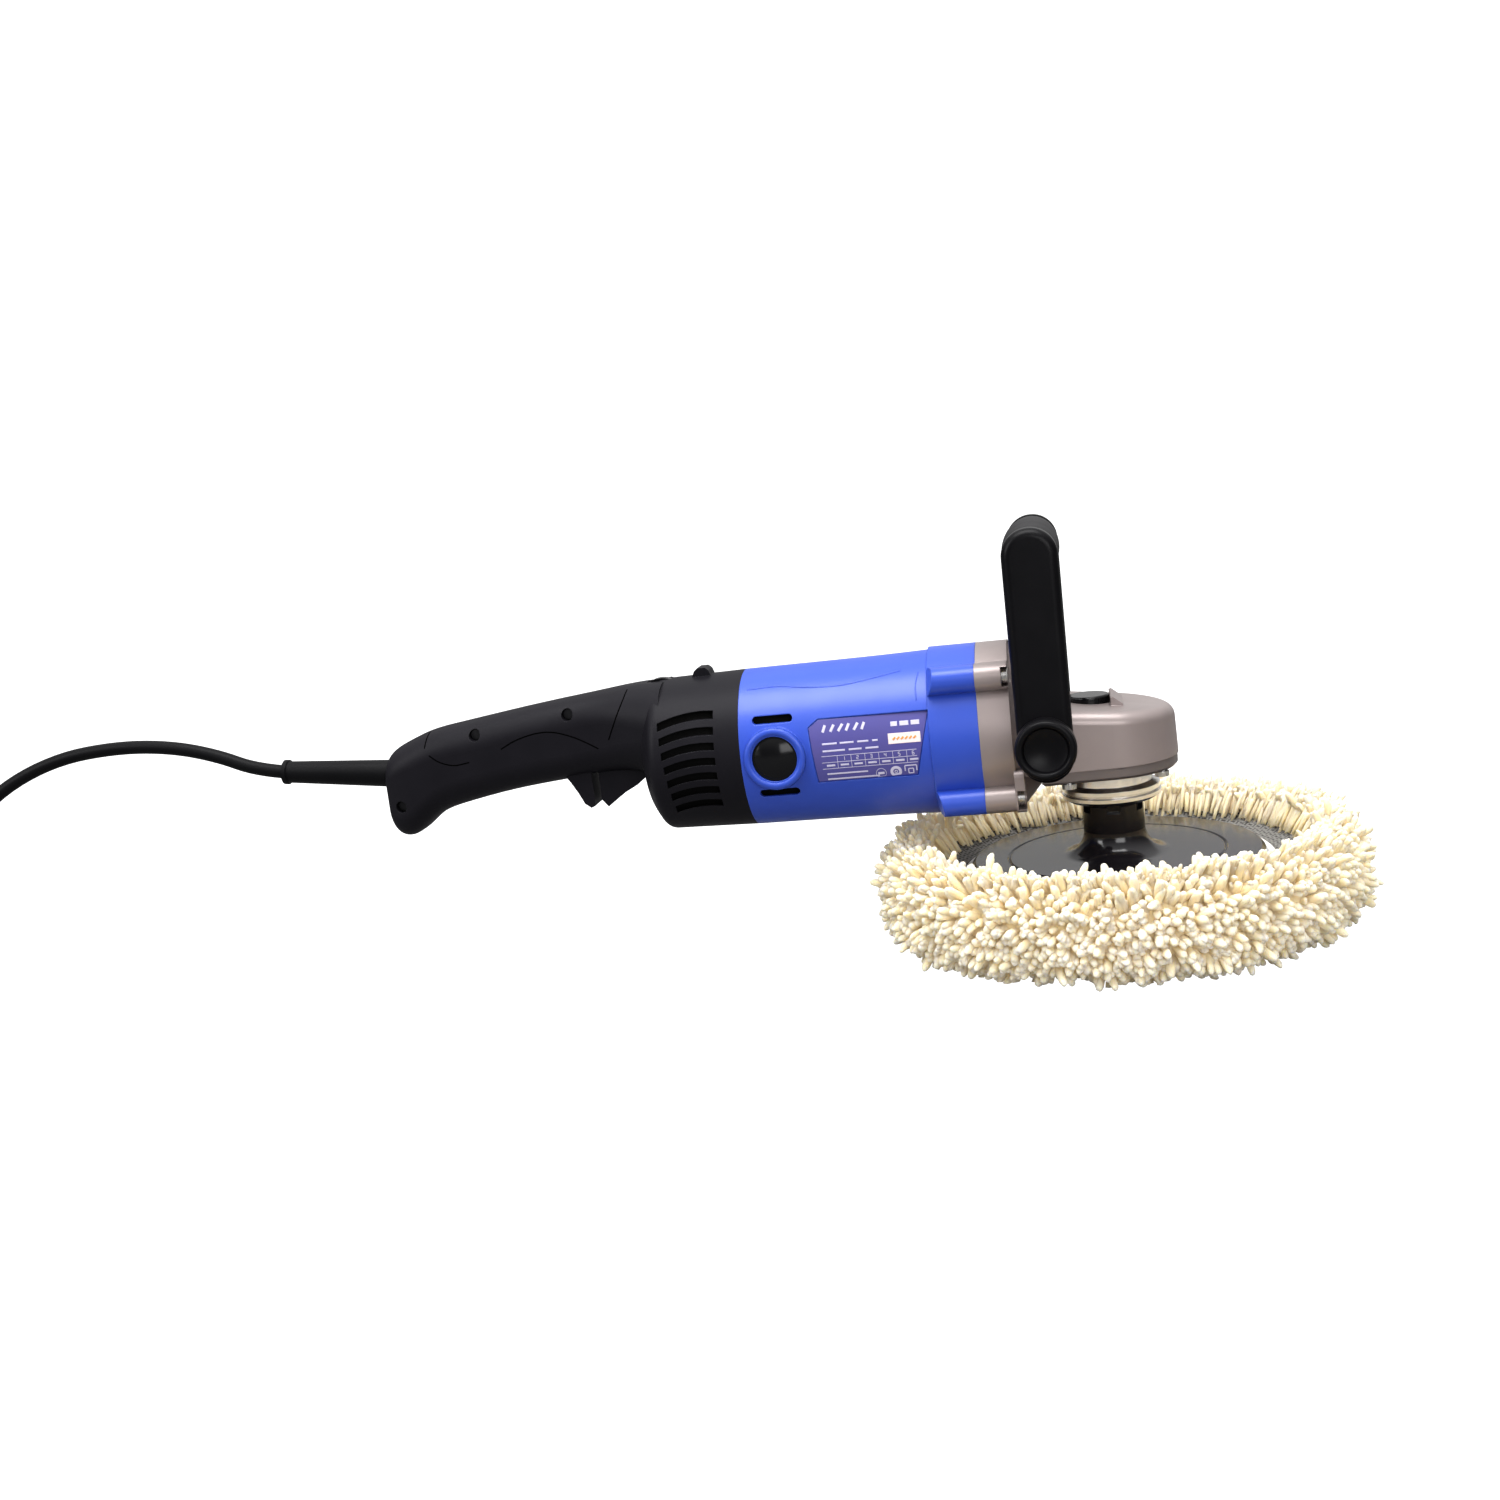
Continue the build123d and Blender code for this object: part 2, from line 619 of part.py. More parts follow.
def motor_housing():
    """The moulded motor housing: a barrel with corner blocks, brush openings and a plate recess."""
    barrel = turned_x(housing_profile(0))
    blocks = across(front_outline(), corner_block_x, flange_back_x)
    wedge = Polyline(
        (corner_block_x, 0, motor_z), (corner_block_x, 0, motor_z + 46),
        (corner_block_x + corner_ramp, 0, motor_z + 70), (flange_back_x, 0, motor_z + 70),
        (flange_back_x, 0, motor_z), close=True)
    blocks &= turned_x(wedge)
    solid = barrel + blocks
    inside = turned_x(housing_profile(housing_wall))
    solid -= inside
    # rear spider with the seat of the rear bearing and air holes
    spider = ring_x(motor_back_radius - housing_wall + 0.5, 14, motor_back_x, motor_back_x + 3.5)
    seat = ring_x(14.5, 11.0, rear_bearing_x0, motor_back_x + 3.5)
    for turn in range(6):
        hole = bar(8, (motor_back_x - 5, 0, motor_z + 28), (motor_back_x + 8, 0, motor_z + 28))
        spider -= Pos(0, 0, motor_z) * Rot(60 * turn + 30, 0, 0) * Pos(0, 0, -motor_z) * hole
    solid += spider + seat
    # stator ribs
    for turn in range(4):
        rib = block(core_x0 - 3, core_x0, -6, 6, motor_z + 36, motor_z + motor_back_radius - 1)
        solid += Pos(0, 0, motor_z) * Rot(90 * turn, 0, 0) * Pos(0, 0, -motor_z) * rib
    # brush openings with their raised rings, and the air slots
    for out in (-1, 1):
        start, face = (brush_x, out * 41, motor_z), (brush_x, out * (motor_back_radius + 1.6), motor_z)
        solid += bar(cap_ring_radius, start, face)
        solid -= bar(cap_radius + fit, (brush_x, out * 20, motor_z), (brush_x, out * 60, motor_z))
        for level in (-1, 1):
            z = motor_z + 0.5 + level * slot_offset
            slot = SlotOverall(slot_length, slot_height)
            solid -= side(Pos(brush_x, z) * slot, *sorted((out * 30, out * 60)))
    # recess of the rating plate
    band = ring_x(motor_back_radius + 6, plate_floor_radius, -165, -85)
    solid -= band & side(plate_outline(), -60, -20)
    for y, z in corner_screws():
        boss = bar(6.5, (corner_block_x + 2, y, motor_z + z), (flange_back_x, y, motor_z + z))
        solid += boss & turned_x(wedge)
        hole_ends = (corner_block_x + 6, y, motor_z + z), (flange_back_x + 1, y, motor_z + z)
        solid -= bar(corner_screw_radius, *hole_ends)
    solid -= along_x(fan_radius + 2, -100, flange_back_x + 1)
    return solid


def rating_plate():
    """The thin rating plate, curved round the barrel."""
    band = ring_x(plate_floor_radius + plate_sheet, plate_floor_radius, -165, -85)
    return band & side(plate_outline(0.5), -60, -20)


def stator():
    """The laminated stator core and its two field coils."""
    core = ring_x(stator_radius, armature_radius + air_gap, core_x0, core_x1)
    coils = None
    for x0, x1 in ((core_x0 - 9, core_x0), (core_x1, core_x1 + 9)):
        for out in (-1, 1):
            wedge = block(x0, x1, *sorted((out * 8, out * 34)), motor_z - 26, motor_z + 26)
            coil = ring_x(36, 25.5, x0, x1) & wedge
            coils = coil if coils is None else coils + coil
    return core, coils


def brush_gear():
    """Brush holders, carbon brushes, springs and the screwed brush caps."""
    holders, brushes, springs, caps = None, None, None, []
    for out in (-1, 1):
        near = commutator_radius + gap
        holder = block(brush_x - 7, brush_x + 7, *sorted((out * (near + 1.7), out * 41)),
                       motor_z - 8, motor_z + 8)
        bore = block(brush_x - 4.1, brush_x + 4.1, *sorted((out * 10, out * 50)),
                     motor_z - 6.1, motor_z + 6.1)
        brush = block(brush_x - 4, brush_x + 4, *sorted((out * near, out * 30)), motor_z - 6, motor_z + 6)
        spring = pipe(3.5, 2.6, (brush_x, out * 30, motor_z), (brush_x, out * 41, motor_z))
        cap = bar(cap_radius - 0.2, (brush_x, out * 41.2, motor_z),
                  (brush_x, out * (motor_back_radius + 0.6), motor_z))
        dome = Pos(brush_x, out * (motor_back_radius - 24), motor_z) * Sphere(27)
        limits = bar(cap_radius - 0.2, (brush_x, out * 41.2, motor_z), (brush_x, out * 60, motor_z))
        cap += dome & limits
        holder = holder - bore
        holders = holder if holders is None else holders + holder
        brushes = brush if brushes is None else brushes + brush
        springs = spring if springs is None else springs + spring
        caps.append(cap)
    return holders, brushes, springs, caps


parts["motor_housing"] = motor_housing()
parts["rating_plate"] = rating_plate()
parts["stator_core"], parts["field_coils"] = stator()
holders, brushes, springs, caps = brush_gear()
parts["brush_holders"] = holders
parts["carbon_brushes"] = brushes
parts["brush_springs"] = springs
parts["brush_cap_right"], parts["brush_cap_left"] = caps
parts["fan_baffle"] = ring_x(motor_back_radius - housing_wall - 0.3, 27, -100.6, -98.6)
parts["rear_bearing"] = ring_x(11.0, 4.0 + running, rear_bearing_x0 + 0.5, rear_bearing_x0 + 7.5)


# --- rear handle shells -------------------------------------------------------------------------------

grip_stations = [
    # x, underside z, top z, half width
    (-411.0, 86.0, 121.0, 13.0),
    (-405.0, 78.8, 130.0, 16.5),
    (-396.0, 81.0, 134.4, 18.0),
    (-384.0, 89.5, 138.6, 18.5),
    (-366.0, 95.5, 141.8, 18.5),
    (-335.0, 101.0, 146.2, 18.5),
    (-304.0, 104.4, 150.2, 18.5),
    (-278.0, 106.5, 153.2, 19.5),
    (-254.0, 104.0, 155.4, 27.0),
    (-240.0, 98.0, 155.8, 33.0),
]


def grip_bar(wall):
    """The hand grip: rounded sections along X."""
    sections = []
    for x, low, high, half in grip_stations:
        x = x + wall if x == grip_stations[0][0] else x
        tall, wide = high - low - 2 * wall, 2 * (half - wall)
        radius = 0.42 * min(tall, wide)
        place = Plane(origin=(x, 0, (low + high) / 2), x_dir=(0, 1, 0), z_dir=(1, 0, 0))
        sections.append(place * RectangleRounded(wide, tall, radius))
    return loft(sections)


def drum(wall):
    """The vented drum behind the motor, with a domed back."""
    r, back = drum_radius - wall, drum_back_x + wall
    front = motor_back_x + 1
    foot, crown = (back + 0.8, 0, motor_z + 18), (back + 14.5, 0, motor_z + r)
    start = Polyline((front, 0, motor_z), (back, 0, motor_z), foot)
    dome = Spline([foot, (back + 3.4, 0, motor_z + 31), (back + 7.4, 0, motor_z + r - 4.4), crown],
                  tangents=[(0.15, 0, 1), (1, 0, 0)])
    rest = Polyline(crown, (front, 0, motor_z + r + 1.0), (front, 0, motor_z))
    return turned_x(start + dome + rest)


def vent_cutters():
    """Curved air slots, one above the other, rising towards the motor."""
    cutters = None
    for count in range(vent_count):
        high = vent_top_z - count * vent_pitch
        x0 = vent_x0 + 0.75 * count
        rise = 4.2 - 0.3 * count
        middle = (x0 + vent_x1) / 2
        top = ThreePointArc((x0, high - rise), (middle, high - rise * 0.5 + 1.8), (vent_x1, high))
        under = high - vent_height
        low = ThreePointArc((vent_x1, under), (middle, under - rise * 0.5 + 1.8), (x0, under - rise))
        ends = [Line((vent_x1, high), (vent_x1, high - vent_height)),
                Line((x0, high - vent_height - rise), (x0, high - rise))]
        slot = side(make_face(top + ends[0] + low + ends[1]), -60, 60)
        cutters = slot if cutters is None else cutters + slot
    return cutters


def guard_nose(grow=0.0):
    """The fixed finger guard behind the trigger."""
    outline = Polyline((-304, 108), (-301, 103.6), (-297, 96.6), (-294, 90.2), (-290.6, 87.6),
                       (-288.4, 88.4), (-287.9, 92), (-288.2, 112), (-304, 112), close=True)
    return side(make_face(outline), -11, 11)


def trigger_outline():
    """The trigger seen from the side."""
    return make_face(Polyline(
        (-284.4, 118), (-284.6, 91.6), (-281.0, 87.0), (-276.5, 90.2), (-270, 94.6), (-262.5, 98.4),
        (-256.0, 103.6), (-254.8, 110), (-258, 114.5), (-268, 116), close=True))


def rear_shells():
    """The two clamshell halves: grip, guard and vented drum in one."""
    outside = grip_bar(0) + drum(0) + guard_nose()
    fin = side(make_face(Polyline((-227, 150), (-222.6, 159.6), (-220.6, 161.2), (-216.4, 161.2),
                                  (-214.4, 159.6), (-211, 150), close=True)), -6, 6)
    outside += fin
    inside = grip_bar(shell_wall) + drum(shell_wall)
    solid = outside - inside
    solid -= vent_cutters()
    solid -= block(motor_back_x, -100, -60, 60, 0, 300)
    # opening of the trigger with room to turn
    solid -= block(-288.0, trigger_pivot[0] + 5.5, -trigger_half_width - gap, trigger_half_width + gap,
                   80, 112)
    solid -= bar(1.5, (trigger_pivot[0], -14, trigger_pivot[1]), (trigger_pivot[0], 14, trigger_pivot[1]))
    # slot of the speed dial
    solid -= side(Pos(dial_x, dial_z) * Circle(dial_radius + 0.8),
                  -dial_thick / 2 - 0.5, dial_thick / 2 + 0.5)
    # opening of the lock-on button, on the left side
    solid -= bar(lock_on_radius + gap, (lock_on_x, 0, lock_on_z), (lock_on_x, 40, lock_on_z))
    # seat of the cord guard
    solid -= guard_bar(guard_root_radius + 0.05, -8, 30)
    # bosses across the joint, each with a screw hole
    inner = grip_bar(shell_wall - 0.4) + drum(shell_wall - 0.4)
    for x, z in shell_screw_places:
        post = bar(4.2, (x, -40, z), (x, 40, z)) & inner
        solid += post
    for x, z in shell_screw_places:
        solid -= bar(1.6, (x, -60, z), (x, 12, z))
        solid -= bar(3.4, (x, -60, z), (x, -screw_head_y, z))
    half = block(-500, -150, fit / 4, 100, 0, 300)
    left = solid & half
    right = solid & mirrored(half)
    return left, right


def guard_bar(radius, start, end):
    """A bar along the cord guard's axis, measured from the guard's root."""
    a, b = Vector(guard_start[0], 0, guard_start[1]), Vector(guard_end[0], 0, guard_end[1])
    way = (b - a).normalized()
    return bar(radius, a - way * end, a - way * start)


parts["handle_shell_left"], parts["handle_shell_right"] = rear_shells()
shell_screws = []
for x, z in shell_screw_places:
    shank = bar(1.55, (x, -screw_head_y, z), (x, 8, z))
    shell_screws.append(shank + bar(3.0, (x, -screw_head_y - 2.4, z), (x, -screw_head_y, z)))
parts["handle_screws"] = Compound(shell_screws)


# --- trigger, switch and controls ---------------------------------------------------------------------

def trigger():
    """The trigger, with a bore for its pin."""
    body = side(trigger_outline(), -trigger_half_width, trigger_half_width)
    px, pz = trigger_pivot
    body -= bar(1.5 + running, (px, -20, pz), (px, 20, pz))
    body -= block(-280, -268, -trigger_half_width + 2, trigger_half_width - 2, 108, 120)
    return body


px, pz = trigger_pivot
parts["trigger"] = trigger()
parts["trigger_pin"] = bar(1.5, (px, -14, pz), (px, 14, pz))
parts["trigger_spring"] = pipe(3.2, 2.4, (-274, 0, 108.1), (-274, 0, 123.4))
parts["switch_body"] = block(-300, -264, -switch_half_width, switch_half_width, 123.5, 137)
lock_on_y = switch_half_width + lock_on_travel + gap
parts["lock_on_button"] = bar(lock_on_radius, (lock_on_x, lock_on_y, lock_on_z), (lock_on_x, 20.6, lock_on_z))
parts["speed_dial"] = (
    bar(dial_radius, (dial_x, -dial_thick / 2, dial_z), (dial_x, dial_thick / 2, dial_z))
    - bar(1.5 + running, (dial_x, -10, dial_z), (dial_x, 10, dial_z)))
parts["dial_pin"] = bar(1.5, (dial_x, -6, dial_z), (dial_x, 6, dial_z))
parts["control_board"] = block(-252, -216, -14, 14, 122, 124) + block(-240, -226, -10, 10, 124, 128)
parts["cord_clamp"] = block(-392, -380, -11, 11, 119.5, 123)

# --- spindle lock -------------------------------------------------------------------------------------

button = upright(button_radius, button_top_z - button_thick, button_top_z, x=button_x)
button = fillet(button.edges().filter_by(GeomType.CIRCLE).sort_by(Axis.Z)[-1], 1.4)
pin = upright(pin_radius, gear_web_top_z + 2, button_top_z - button_thick, x=pin_x)
parts["spindle_lock_button"] = button + pin
parts["lock_spring"] = (upright(4.6, spring_floor_z, button_top_z - button_thick - 0.1, x=pin_x)
                        - upright(pin_radius + 0.4, 110, button_top_z, x=pin_x))


# --- loop handle --------------------------------------------------------------------------------------

def loop_handle():
    """The D-shaped handle: two flat arms joined by a bar."""
    half = loop_arm_width / 2
    low = loop_pivot_z - loop_end_drop
    arm = Pos(loop_x, (low + loop_top_z) / 2) * RectangleRounded(
        loop_arm_width, loop_top_z - low, half - 0.1)
    near = side(arm, -loop_arm_outer, -loop_arm_inner)
    near = fillet(near.faces().sort_by(Axis.Y)[0].edges(), 4.5)
    hole = bar(bolt_radius + gap, (loop_x, -80, loop_pivot_z), (loop_x, 80, loop_pivot_z))
    core = bar(half - 3.5, (loop_x, -loop_arm_inner, loop_bar_z), (loop_x, loop_arm_inner, loop_bar_z))
    return near + mirrored(near) + core - hole


def loop_grip():
    """The grip sleeve round the bar, fuller in the middle."""
    half_length = loop_arm_inner - 0.2
    half = loop_arm_width / 2
    outline = Spline([(0, -half_length, half - 0.6), (0, 0, loop_grip_radius),
                      (0, half_length, half - 0.6)])
    rest = Polyline((0, half_length, half - 0.6), (0, half_length, half - 3.5),
                    (0, -half_length, half - 3.5), (0, -half_length, half - 0.6))
    sleeve = revolve(make_face(outline + rest), Axis.Y)
    return Pos(loop_x, 0, loop_bar_z) * sleeve


def knob(out):
    """A handle bolt with its round moulded head, dished on the outside."""
    seat = out * (loop_arm_outer + 0.1)
    end = out * knob_outer
    head = bar(knob_radius, (loop_x, seat, loop_pivot_z), (loop_x, end, loop_pivot_z))
    head = fillet(head.edges().filter_by(GeomType.CIRCLE).sort_by(Axis.Y)[0 if out < 0 else -1], 2.4)
    dish = Pos(loop_x, out * (knob_outer + 22), loop_pivot_z) * Sphere(25.5)
    shank = bar(bolt_radius, (loop_x, out * 36, loop_pivot_z), (loop_x, seat + out, loop_pivot_z))
    return head - dish + shank


parts["loop_handle"] = loop_handle()
parts["loop_grip"] = loop_grip()
parts["knob_right"] = knob(-1)
parts["knob_left"] = knob(1)


# --- cord ---------------------------------------------------------------------------------------------

def cord_guard():
    """The tapered strain relief, held in the shells by a flange."""
    a, b = Vector(guard_start[0], 0, guard_start[1]), Vector(guard_end[0], 0, guard_end[1])
    length = (b - a).length
    outline = make_face(Polyline(
        (cord_radius, 0, -12), (guard_root_radius, 0, -12), (guard_root_radius, 0, 2),
        (guard_tip_radius, 0, length - 3), (guard_tip_radius + 0.9, 0, length - 2.4),
        (guard_tip_radius + 0.9, 0, length), (cord_radius, 0, length), close=True))
    return Plane(origin=a, z_dir=b - a) * revolve(outline, Axis.Z)


def rounded_path(points):
    """Straight runs joined by tangent arcs, each as large as its two runs allow; prints the radii."""
    spots = [Vector(*p) for p in points]
    radii = []
    for before, here, after in zip(spots, spots[1:], spots[2:]):
        run_in, run_out = here - before, after - here
        turn = math.radians(run_in.get_angle(run_out))
        radii.append(0.45 * min(run_in.length, run_out.length) / math.tan(turn / 2))
    print("cord radii", [round(r) for r in radii])
    return FilletPolyline(*spots, radius=radii)


def cord_tube(points):
    """The cord along a route."""
    path = rounded_path(points)
    section = Plane(origin=path @ 0, z_dir=path % 0) * Circle(cord_radius)
    tube = sweep(section, path=path)
    expected = math.pi * cord_radius ** 2 * path.length
    print("cord length", round(path.length, 1), "volume ratio", round(tube.volume / expected, 4))
    return tube


cord_route = [
    (-478.0, 0.0, 121.6),
    (-497.0, 0.0, 124.6),
    (-519.0, 0.5, 134.5),
    (-548.0, 0.0, 142.6),
    (-583.0, -1.0, 145.6),
    (-624.0, -4.0, 142.0),
    (-663.0, -9.0, 126.0),
    (-693.0, -15.0, 99.0),
    (-714.0, -21.0, 68.0),
    (-733.0, -26.0, 44.0),
    (-753.0, -30.0, 27.5),
    (-777.0, -33.0, 20.5),
]
tail_route = [
    (-790.0, -125.5, 5.0),
    (-773.0, -124.6, 5.4),
    (plug_x0, -125.0, 10.0),
]


def cord_coil():
    """The outer shape of the wound coil."""
    cx, cy = coil_centre
    outer, inner = coil_mean_radius + coil_across / 2, coil_mean_radius - coil_across / 2
    ring = Pos(cx, cy, 0) * ring_z(outer, inner, tie_thick, tie_thick + coil_tall)
    return ring


def cord_tie():
    """The strap round the coil."""
    cx, cy = coil_centre
    x = cx - coil_mean_radius
    outside = block(x - coil_across / 2 - tie_thick - 0.5, x + coil_across / 2 + tie_thick + 0.5,
                    cy - 6, cy + 6, 0, coil_tall + 2 * tie_thick)
    hollow = block(x - coil_across / 2 - 0.5, x + coil_across / 2 + 0.7, cy - 7, cy + 7,
                   tie_thick, coil_tall + tie_thick)
    return outside - hollow


def plug():
    """A round-pin plug: a tapered body and two pins."""
    y, z = tail_route[-1][1], 13.0
    body_plan = Pos(plug_x0 + plug_length / 2, y) * RectangleRounded(plug_length, plug_wide, plug_corner)
    body = Pos(0, 0, 1) * extrude(body_plan, plug_tall)
    body = fillet(body.faces().sort_by(Axis.Z)[-1].edges(), plug_corner - 0.5)
    pins = None
    for out in (-1, 1):
        side_y = y + out * plug_pin_spacing / 2
        face_x = plug_x0 + plug_length
        root = bar(plug_pin_radius - 0.5, (face_x - 6, side_y, z), (face_x, side_y, z))
        body -= root
        pin = root + bar(plug_pin_radius, (face_x, side_y, z), (face_x + plug_pin_length, side_y, z))
        pins = pin if pins is None else pins + pin
    turn_axis = Axis((plug_x0, y, 0), (0, 0, 1))
    return body.rotate(turn_axis, plug_turn), pins.rotate(turn_axis, plug_turn)


parts["cord_guard"] = cord_guard()
parts["cord"] = cord_tube(cord_route)
parts["cord_tail"] = cord_tube(tail_route)
parts["cord_coil"] = cord_coil()
parts["cord_tie"] = cord_tie()
parts["plug_body"], parts["plug_pins"] = plug()

for node, solid in parts.items():
    solid = solid if isinstance(solid, (Part, Compound, Solid)) else Part(solid)
    export_step(solid, f"parts/{node}.step")
print(len(parts), "nodes")
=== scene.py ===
import math

import bmesh
import bpy
import numpy as np
from mathutils import Matrix, Vector
from mathutils.bvhtree import BVHTree


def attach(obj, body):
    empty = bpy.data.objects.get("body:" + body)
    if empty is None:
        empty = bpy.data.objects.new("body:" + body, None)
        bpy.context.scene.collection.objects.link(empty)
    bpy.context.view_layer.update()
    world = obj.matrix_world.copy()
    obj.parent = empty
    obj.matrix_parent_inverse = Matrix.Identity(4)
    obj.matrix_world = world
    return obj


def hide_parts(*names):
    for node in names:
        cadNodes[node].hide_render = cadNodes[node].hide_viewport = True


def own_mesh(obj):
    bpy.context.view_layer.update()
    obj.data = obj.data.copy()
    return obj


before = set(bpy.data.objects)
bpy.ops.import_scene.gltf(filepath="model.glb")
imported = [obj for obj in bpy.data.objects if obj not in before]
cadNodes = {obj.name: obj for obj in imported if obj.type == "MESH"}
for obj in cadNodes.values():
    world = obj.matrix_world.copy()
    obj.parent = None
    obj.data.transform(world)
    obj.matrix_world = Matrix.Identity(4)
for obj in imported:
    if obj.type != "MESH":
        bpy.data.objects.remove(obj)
bpy.context.view_layer.update()
dice = np.random.default_rng(27)  # seeded, so every run draws the same tufts
mm = 0.001
motorZ = 113.5  # height of the motor's axis
print("frame loaded:", len(cadNodes), "nodes")


# place in millimetres, angles in degrees
camera = {
    "place": (-14.58, -931.06, 280.48),
    "yaw": -11.1,
    "pitch": 10.105,
    "roll": 6.765,
    "lens": 40.99,
    "sensor": 36.0,
    "near": 0.02,
    "far": 60.0,
}


def makeCamera():
    # looks along ahead, then turns about it by the roll
    yaw, pitch, roll = (math.radians(camera[k]) for k in ("yaw", "pitch", "roll"))
    ahead = Vector((math.sin(yaw) * math.cos(pitch), math.cos(yaw) * math.cos(pitch), -math.sin(pitch)))
    level = Vector((math.cos(yaw), -math.sin(yaw), 0))
    drop = ahead.cross(level)
    right = math.cos(roll) * level + math.sin(roll) * drop
    down = math.cos(roll) * drop - math.sin(roll) * level
    data = bpy.data.cameras.new("viewCamera")
    data.lens, data.sensor_width = camera["lens"], camera["sensor"]
    data.clip_start, data.clip_end = camera["near"], camera["far"]
    eye = bpy.data.objects.new("viewCamera", data)
    bpy.context.scene.collection.objects.link(eye)
    columns = np.eye(4)
    columns[:3, 0], columns[:3, 1], columns[:3, 2] = right, -down, -ahead
    columns[:3, 3] = np.array(camera["place"]) * mm
    eye.matrix_world = Matrix(columns.tolist())
    bpy.context.scene.camera = eye


makeCamera()
print("camera set")


def shaderNode(tree, kind, props=None, **inputs):
    # one node; each input is a socket to link or a plain value, underscores stand for spaces
    made = tree.nodes.new(kind)
    for key, value in (props or {}).items():
        setattr(made, key, value)
    for key, value in inputs.items():
        wanted = key.replace("_", " ")
        socket = next(s for s in made.inputs if s.name == wanted and s.enabled)
        if isinstance(value, bpy.types.NodeSocket):
            tree.links.new(value, socket)
        else:
            socket.default_value = value
    return made


def mathNode(tree, operation, *values, clamp=False):
    made = tree.nodes.new("ShaderNodeMath")
    made.operation, made.use_clamp = operation, clamp
    for place, value in enumerate(values):
        if isinstance(value, bpy.types.NodeSocket):
            tree.links.new(value, made.inputs[place])
        else:
            made.inputs[place].default_value = value
    return made.outputs[0]


def mixColour(tree, share, a, b, blend="MIX"):
    made = tree.nodes.new("ShaderNodeMix")
    made.data_type, made.blend_type = "RGBA", blend
    for place, value in ((0, share), (6, a), (7, b)):
        if isinstance(value, bpy.types.NodeSocket):
            tree.links.new(value, made.inputs[place])
        else:
            made.inputs[place].default_value = value if place == 0 else (*value, 1)
    return made.outputs[2]


def newGroup(name, inputs, outputs):
    tree = bpy.data.node_groups.new(name, "ShaderNodeTree")
    for label, kind, value in inputs:
        socket = tree.interface.new_socket(label, in_out="INPUT", socket_type=kind)
        if value is not None:
            socket.default_value = value
    for label, kind in outputs:
        tree.interface.new_socket(label, in_out="OUTPUT", socket_type=kind)
    return tree, tree.nodes.new("NodeGroupInput").outputs, tree.nodes.new("NodeGroupOutput").inputs


def useGroup(tree, group, **inputs):
    made = tree.nodes.new("ShaderNodeGroup")
    made.node_tree = group
    for key, value in inputs.items():
        socket = made.inputs[key]
        if isinstance(value, bpy.types.NodeSocket):
            tree.links.new(value, socket)
        else:
            socket.default_value = value
    return made.outputs


floatKind, vectorKind, colourKind = "NodeSocketFloat", "NodeSocketVector", "NodeSocketColor"


def buildGrain():
    # moulded or cast skin: fine pebbles over a slow swell, as a height and a faint shade
    tree, given, put = newGroup(
        "skinGrain",
        [("point", vectorKind, None), ("fine", floatKind, 900.0), ("swell", floatKind, 60.0)],
        [("height", floatKind), ("shade", floatKind)])
    fine = shaderNode(tree, "ShaderNodeTexNoise", Vector=given["point"], Scale=given["fine"], Detail=2.0)
    slow = shaderNode(tree, "ShaderNodeTexNoise", Vector=given["point"], Scale=given["swell"], Detail=3.0)
    slowPart = mathNode(tree, "MULTIPLY", slow.outputs["Fac"], 0.35)
    tree.links.new(mathNode(tree, "ADD", fine.outputs["Fac"], slowPart), put["height"])
    tree.links.new(slow.outputs["Fac"], put["shade"])
    return tree


def buildSoftEdge():
    # rounded normals on edges, and a mask of where the rounding bites, broken up by noise
    tree, given, put = newGroup(
        "softEdge",
        [("point", vectorKind, None), ("radius", floatKind, 0.0005), ("wear", floatKind, 0.4)],
        [("normal", vectorKind), ("mask", floatKind)])
    eased = shaderNode(tree, "ShaderNodeBevel", {"samples": 4}, Radius=given["radius"])
    plain = tree.nodes.new("ShaderNodeNewGeometry")
    dot = tree.nodes.new("ShaderNodeVectorMath")
    dot.operation = "DOT_PRODUCT"
    tree.links.new(eased.outputs[0], dot.inputs[0])
    tree.links.new(plain.outputs["Normal"], dot.inputs[1])
    bite = mathNode(tree, "MULTIPLY", mathNode(tree, "SUBTRACT", 1.0, dot.outputs["Value"]), 6.0, clamp=True)
    patchy = shaderNode(tree, "ShaderNodeTexNoise", Vector=given["point"], Scale=240.0, Detail=4.0)
    above = mathNode(tree, "SUBTRACT", patchy.outputs["Fac"], 0.42)
    gate = mathNode(tree, "MULTIPLY", above, 4.0, clamp=True)
    mask = mathNode(tree, "MULTIPLY", mathNode(tree, "MULTIPLY", bite, gate), given["wear"], clamp=True)
    tree.links.new(eased.outputs[0], put["normal"])
    tree.links.new(mask, put["mask"])
    return tree


def buildDust():
    # fine dust that settles on upward faces, in patches
    tree, given, put = newGroup(
        "settledDust",
        [("point", vectorKind, None), ("amount", floatKind, 0.15)],
        [("mask", floatKind)])
    plain = tree.nodes.new("ShaderNodeNewGeometry")
    parts = tree.nodes.new("ShaderNodeSeparateXYZ")
    tree.links.new(plain.outputs["Normal"], parts.inputs[0])
    upward = mathNode(tree, "MULTIPLY", parts.outputs["Z"], 1.0, clamp=True)
    patchy = shaderNode(tree, "ShaderNodeTexNoise", Vector=given["point"], Scale=35.0, Detail=6.0)
    speck = shaderNode(tree, "ShaderNodeTexNoise", Vector=given["point"], Scale=1500.0, Detail=1.0)
    both = mathNode(tree, "MULTIPLY", patchy.outputs["Fac"], speck.outputs["Fac"])
    settled = mathNode(tree, "MULTIPLY", both, upward)
    tree.links.new(mathNode(tree, "MULTIPLY", settled, given["amount"]), put["mask"])
    return tree


skinGrain, softEdge, settledDust = buildGrain(), buildSoftEdge(), buildDust()


